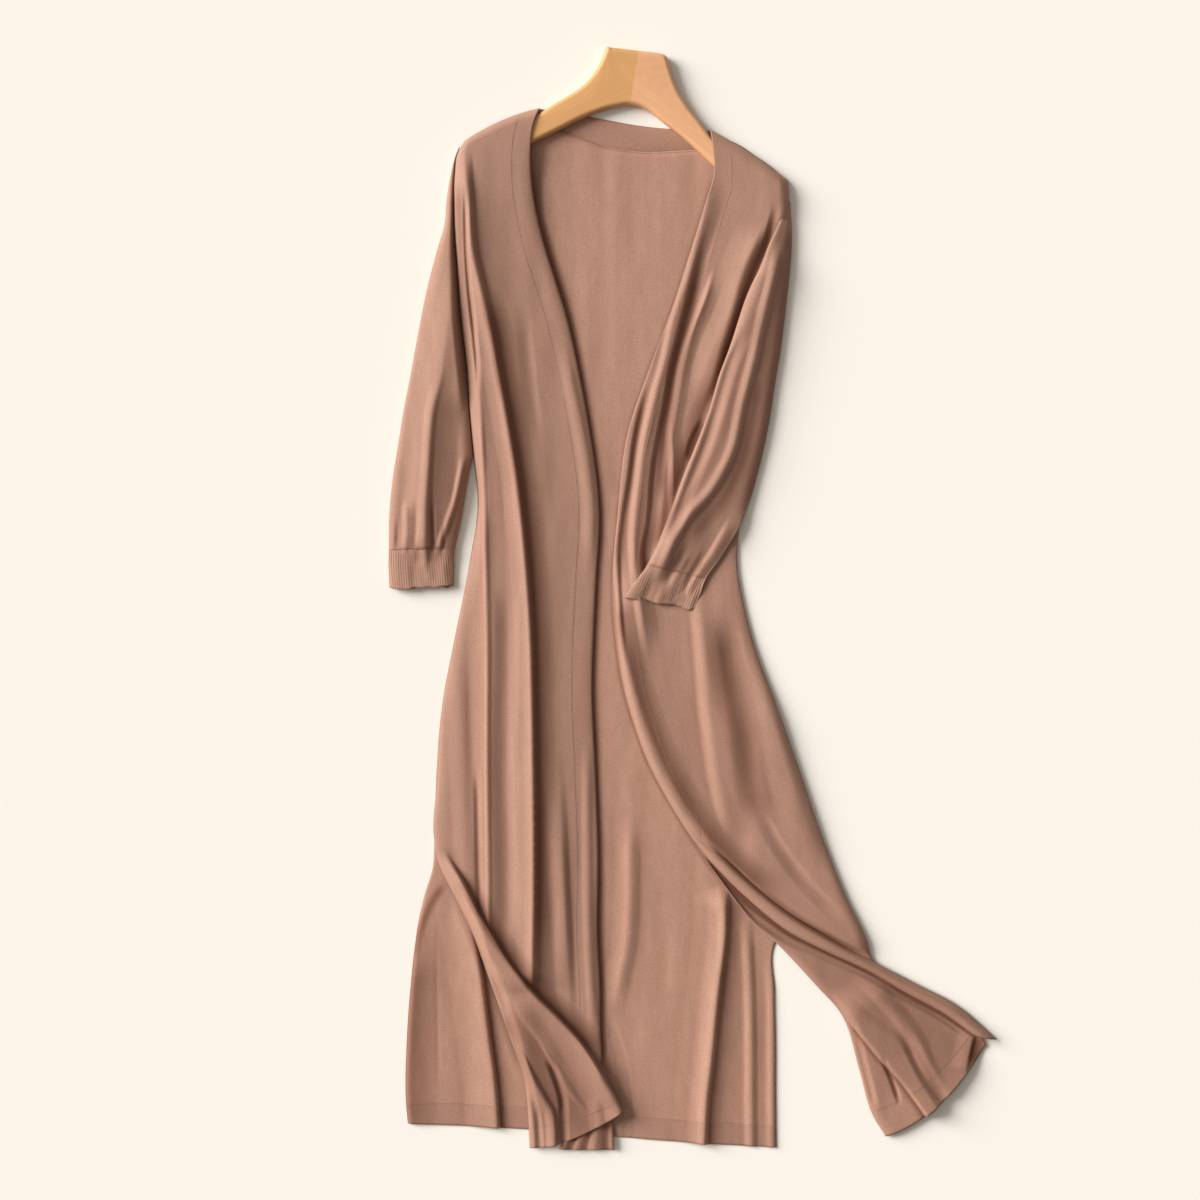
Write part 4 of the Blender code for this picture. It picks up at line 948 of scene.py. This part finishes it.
leftSleeve = {
    "name": "leftSleeve",
    "nodes": ("left_sleeve", "left_cuff"),
    "side": leftFront["side"],
    "foldedOver": True,
    "cuffRow": 13.0,
    # painted shade along these lines
    "shadeLines": [
        shadeLine([(-54, 38), (-40, 34), (-18, 29), (2, 24), (17, 20)], 3, 3, 0.6),
        shadeLine([(-30, 30), (-24, 40), (-20, 50)], 3, 3, 0.55),
        shadeLine([(-14, 26), (-8, 37), (-3, 47)], 3.5, 3, 0.6),
        shadeLine([(0, 23), (7, 34), (12, 43)], 3, 3, 0.5),
        shadeLine([(78, 262), (68, 214), (57, 160), (38, 116), (14, 86), (-6, 60)], 12, 7, 0.6),
        shadeLine([(76, 340), (62, 290), (52, 257), (39, 200), (25, 159), (2, 122), (-20, 92), (-30, 60)], 9,
            11, 0.6),
        shadeLine([(113, 421), (113, 396), (111, 372), (107, 335), (101, 281), (95, 242), (88, 202), (80, 163),
            (70, 124), (52, 82)], 10, 24, 0.6),
    ],
    "tilt": 7.5,  # how far its outer side lies below its inner one
    "cuts": table("outerX outerY innerX innerY startZ topZ innerZ underZ endZ seam", [
        (109.4, 446, 107.6, 446, floorZ, 6.5, 6, 6, 6, 4),
        (111.5, 421, 97.5, 421, floorZ, 15, 12.5, 9.5, 6.5, 4),
        (111.5, 396, 86, 396, floorZ, 17.5, 14.5, 12, 6.5, 4),
        (110, 372, 76, 371, floorZ, 17.5, 13.5, 10, 6.2, 4), (106, 335, 60, 336, floorZ, 17.5, 13, 9, 6.2, 4),
        (99.5, 281, 43, 284, floorZ, 17.5, 12.5, 8, 6.2, 4),
        (93, 242, 30, 249, floorZ, 17.5, 12.5, 8, 6.2, 4), (87, 202, 19, 211, floorZ, 17.5, 12.5, 8, 6.2, 4),
        (79, 163, 6, 176, floorZ, 17.5, 12.5, 8, 6, 4), (69, 124, -10, 137, floorZ, 17.5, 12.5, 8, 6, 4),
        (61, 101, -17, 118, 3.8, 17.5, 12.5, 8, 7, 4), (52, 79, -24, 98, 8, 17.5, 12.5, 8, 8, 9),
        (34, 49, -38, 62, 8, 17, 12.5, 8, 8, 14), (15, 21, -51, 36, 8, 15, 11.5, 8, 8, 14),
        (9, 5, -63, 19, 8, 14.5, 11.2, 8, 8, 14), (2, -13, -76, 1, 8, 14.5, 11.2, 8, 8, 14),
    ]),
    "folds": [
        fold(leftArmCrest, 3.0, 9, 8, lean=1.0, fade=40),
        fold(leftArmCrest, 4.5, 34, 40, 2.4, fade=40),
        fold([(62, 310), (52, 285), (40, 257), (23, 200), (9, 159), (-7, 119), (-21, 82), (-30, 58)], -4.0,
            11, 8, fade=50),
        fold([(46, 92), (38, 78), (20, 46), (8, 28), (-4, 6), (-12, -10)], 2.6, 12, 6, fade=30),
        fold([(-4, 64), (-14, 46), (-24, 28), (-30, 12)], -1.6, 8, 6, fade=25),
        fold([(16, 58), (8, 42), (-2, 24), (-10, 8)], -1.3, 6, 6, fade=20),
    ],
}

cutNames = "outerX outerY innerX innerY startZ topZ innerZ underZ endZ seam".split()
sleeve = {
    "roll": 12.0,
    "turns": 150,  # points round it
    "rows": 170,
    "cuffTurns": 300,
    "cuffRows": 26,
    "mostRoll": 0.45,  # of its width
    "leastHeight": 1.0,
    "tiltCurve": 0.8,
    "shoulderRows": 0.6,  # calm next to the shoulder seam
}

ribbing = {
    "pitch": 2.7,
    "height": 0.16,
    "waveLength": 8.0,
    "waveSpan": 40.0,
    "waveHeight": 1.3,
    "wavyEnd": 3.0,
    "loose": 4.0,  # above this height the cuff isn't pressed flat
}


def sleeveShape(piece):
    cuts, side = piece["cuts"], piece["side"]

    def surface(s, t):
        outerX, outerY, innerX, innerY, startZ, topZ, innerZ, underZ, endZ, least = [
            down(cuts, name, s) for name in cutNames]
        outerZ = np.maximum((startZ + topZ) / 2 - piece["tilt"] * ease(s), startZ + sleeve["leastHeight"])
        if piece["foldedOver"]:
            width = outerX - innerX
            seamX = follow(side["y"], side["x"], outerY) + armholeGap
            seamY = outerY + (innerY - outerY) * (outerX - seamX) / width
            seamX = follow(side["y"], side["x"], seamY) + armholeGap
            seam = np.clip(outerX - seamX, least, width) / width
            first = -np.arccos(np.clip(1 - 2 * (seam - gap / width), -1, 1))
            last = 2 * np.pi - np.arccos(1 - 2 * seam)
        else:
            innerX = np.minimum(innerX, follow(side["y"], side["x"], innerY) - armholeGap)
            width = innerX - outerX
            seam = np.ones_like(s)
            first, last = np.full_like(s, -np.pi), np.full_like(s, np.pi)
        turn = first + (last - first) * t
        part = (1 - np.cos(turn)) / 2
        roll = np.minimum(sleeve["roll"], sleeve["mostRoll"] * width)
        atOuter, atInner = drop(part * width, roll), drop((1 - part) * width, roll)
        atSeam = drop((part - seam) * width, roll)
        start = startZ + (outerZ - startZ) * atOuter
        topZ = topZ - piece["tilt"] * (1 - part) ** sleeve["tiltCurve"] * ease(s)
        top = topZ - (topZ - outerZ) * atOuter - (topZ - innerZ) * atInner
        under = underZ + (innerZ - underZ) * atInner + (endZ - underZ) * atSeam
        onTop = (turn >= 0) & (turn <= np.pi)
        z = np.where(turn < 0, start, np.where(onTop, top, under))
        x = outerX + (innerX - outerX) * part
        y = outerY + (innerY - outerY) * part
        shift = foldShift(piece["folds"], x, y)
        shift[..., 2] += cloth["waveHeight"] * waves(x, y, 8)
        calm = (1 - atOuter) * (1 - atInner) * onTop * ease(s / sleeve["shoulderRows"])
        return np.stack([x, y, z], -1) + shift * calm[..., None]

    return surface


def makeSleeve(piece):
    surface = sleeveShape(piece)
    name, (node, cuffNode), cuffRow = piece["name"], piece["nodes"], piece["cuffRow"]
    lastRow = len(piece["cuts"]["outerX"]) - 1
    halfGap = gap / 2 / rowLength
    rows = tightEnds(np.linspace(0, cuffRow - halfGap, sleeve["rows"]), 0, seamRow)
    s, t = patch(rows, np.linspace(0, 1, sleeve["turns"]))
    body = clothPiece(name, surface(s, t), knit, [node], ring=True, shadeLines=piece["shadeLines"])
    rows = tightEnds(np.linspace(cuffRow + halfGap, lastRow, sleeve["cuffRows"]), seamRow, 0)
    s, t = patch(rows, np.linspace(0, 1, sleeve["cuffTurns"]))
    points = surface(s, t)
    around = lengths(points, 1)
    wavy = waves(around, s * rowLength, 21, ribbing["waveLength"], ribbing["waveSpan"])
    lengthwise = np.gradient(points, axis=0)
    lengthwise /= np.linalg.norm(lengthwise, axis=-1, keepdims=True)
    toEnd = ease((s - cuffRow) / (lastRow - cuffRow))
    points = points + lengthwise * (ribbing["wavyEnd"] * wavy * toEnd)[..., None]
    points[..., 2] += np.where(points[..., 2] > ribbing["loose"], ribbing["waveHeight"] * wavy, 0)
    ridges = ribbing["height"] * np.cos(2 * np.pi * around / ribbing["pitch"])
    points = points + gridNormals(points) * ridges[..., None]
    return [body, clothPiece(name + "Cuff", points, rib, [cuffNode], ring=True)]


hanger = {
    "thickness": 11.5,
    "bevel": 5.0,
    "bevelSteps": 8,
    "underEdge": ((0.0, 0.3), (0.4, 0.08), (1.2, 0.0)),  # height, and how much of the bevel it lies in
    "low": 1.8,  # its underside lies on the back
    "pointsAround": 300,
    "sharp": 35.0,  # degrees
    "joint": ((-61, 612), (-70, 556)),  # where its two halves are glued, top and bottom
    "slope": 0.66,  # how steeply its arms fall
    "sideGrain": 0.8,  # how fast the grain passes down its sides
    "outline": table("x y", [
        (-97, 619), (-102, 606), (-110, 591), (-122, 577), (-137, 566), (-154, 556), (-168, 547), (-184, 537),
        (-205, 526), (-232, 511), (-244, 502), (-249, 492), (-244, 484), (-234, 482), (-208, 500),
        (-179, 512), (-152, 525), (-124, 539), (-104, 547), (-86, 552), (-67, 554), (-50, 548), (-32, 534),
        (-8, 515), (21, 488), (44, 468), (60, 455), (71, 450), (79, 453), (82, 461), (78, 470), (62, 485),
        (42, 499), (24, 514), (8, 535), (-6, 553), (-17, 572), (-25, 594), (-28, 605), (-30, 609),
        (-34, 611.5), (-42, 612.9), (-54, 614.3), (-68, 615.9), (-82, 617.5), (-92, 618.7),
    ]),
}


def ringThrough(outline, at):
    places = np.arange(-2, len(outline) + 2)
    looped = np.take(outline, places, axis=0, mode="wrap")
    return np.stack([follow(places, looped[:, 0], at), follow(places, looped[:, 1], at)], -1)


def makeHanger():
    outline = np.stack([hanger["outline"]["x"], hanger["outline"]["y"]], -1)
    run = np.roll(outline, -1, axis=0) - np.roll(outline, 1, axis=0)
    inward = np.stack([-run[:, 1], run[:, 0]], -1) / np.linalg.norm(run, axis=1, keepdims=True)
    size, low, bevel = hanger["pointsAround"], hanger["low"], hanger["bevel"]
    high = low + hanger["thickness"]
    at = np.linspace(0, len(outline), size, endpoint=False)
    outer, inner = ringThrough(outline, at), ringThrough(outline + inward * bevel, at)
    levels = [(low + rise, inset) for rise, inset in hanger["underEdge"]]
    for turn in np.linspace(0, np.pi / 2, hanger["bevelSteps"]):
        levels.append((high - bevel * (1 - np.sin(turn)), 1 - np.cos(turn)))
    rings = [np.column_stack([outer + (inner - outer) * inset, np.full(size, z)]) for z, inset in levels]
    points = np.concatenate(rings)
    faces = []
    for level in range(len(levels) - 1):
        for k in range(size):
            a, b = level * size + k, level * size + (k + 1) % size
            faces.append((a, b, b + size, a + size))
    faces.append(tuple(range(size))[::-1])
    faces.append(tuple((len(levels) - 1) * size + k for k in range(size)))
    mesh = bpy.data.meshes.new("woodenHanger")
    mesh.from_pydata((points * mm).tolist(), [], faces)
    (topX, topY), (lowX, lowY) = hanger["joint"]
    beside = points[:, 0] - (lowX + (topX - lowX) * (points[:, 1] - lowY) / (topY - lowY))
    across = points[:, 1] + hanger["slope"] * np.abs(beside) + hanger["sideGrain"] * points[:, 2]
    setUv(mesh, "grain", np.column_stack([beside, across]) * mm)
    mesh.materials.append(wood)
    mesh.shade_smooth()
    mesh.set_sharp_from_angle(angle=np.radians(hanger["sharp"]))
    return finished(addObject("woodenHanger", mesh), ["hanger"])


backPieces = makeBack()
print("back made")
rightPieces = makeFront(rightFront)
leftPieces = makeFront(leftFront)
print("fronts made")
rightArm = makeSleeve(rightSleeve)
leftArm = makeSleeve(leftSleeve)
print("sleeves made")
makeHanger()
print("hanger made")

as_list(backPieces[1:])
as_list(rightPieces[1:])
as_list(leftPieces[1:])
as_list(rightArm[1:])
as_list(leftArm[1:])


studio = {
    "floorReach": 40.0,  # metres, further than the camera sees
    "floor": (0.895, 0.865, 0.815, 1.0),
    "floorRoughness": 0.85,
    "floorSpecular": 0.05,
    "lamps": {  # strength, degrees across, colour, and where it comes from
        "window": (5.15, 34.0, (1.0, 0.985, 0.965), (-0.85, 0.33, 0.45)),
        "ceiling": (0.72, 95.0, (1.0, 0.93, 0.85), (-0.45, 0.2, 0.87)),
    },
    "roomColour": (1.0, 0.90, 0.79, 1.0),
    "room": 0.165,
    "cameraPlace": (-0.1041, -0.0028, 2.633),
    "lens": 70.0,
    "sensor": 36.0,
}


def makeStudio():
    scene, reach = bpy.context.scene, studio["floorReach"]
    mesh = bpy.data.meshes.new("floor")
    corners = [(-reach, -reach, 0), (reach, -reach, 0), (reach, reach, 0), (-reach, reach, 0)]
    mesh.from_pydata(corners, [], [(0, 1, 2, 3)])
    material, tree, shader = startMaterial("paleFloor")
    setInputs(tree, shader, {"Base Color": studio["floor"], "Roughness": studio["floorRoughness"],
                             "Specular IOR Level": studio["floorSpecular"]})
    mesh.materials.append(material)
    addObject("floor", mesh)
    for name, (strength, softness, colour, source) in studio["lamps"].items():
        data = bpy.data.lights.new(name, "SUN")
        data.energy, data.angle, data.color = strength, np.radians(softness), colour
        x, y, z = np.array(source) / np.linalg.norm(source)
        addObject(name, data).rotation_euler = (np.arccos(z), 0, np.arctan2(x, -y))
    scene.world = bpy.data.worlds.new("softRoom")
    scene.world.use_nodes = True
    tree = scene.world.node_tree
    setInputs(tree, tree.nodes["Background"], {"Color": studio["roomColour"], "Strength": studio["room"]})
    scene.view_settings.view_transform = "Standard"
    data = bpy.data.cameras.new("camera")
    data.lens, data.sensor_width = studio["lens"], studio["sensor"]
    scene.camera = addObject("camera", data)
    scene.camera.location = studio["cameraPlace"]


makeStudio()
print("studio made")
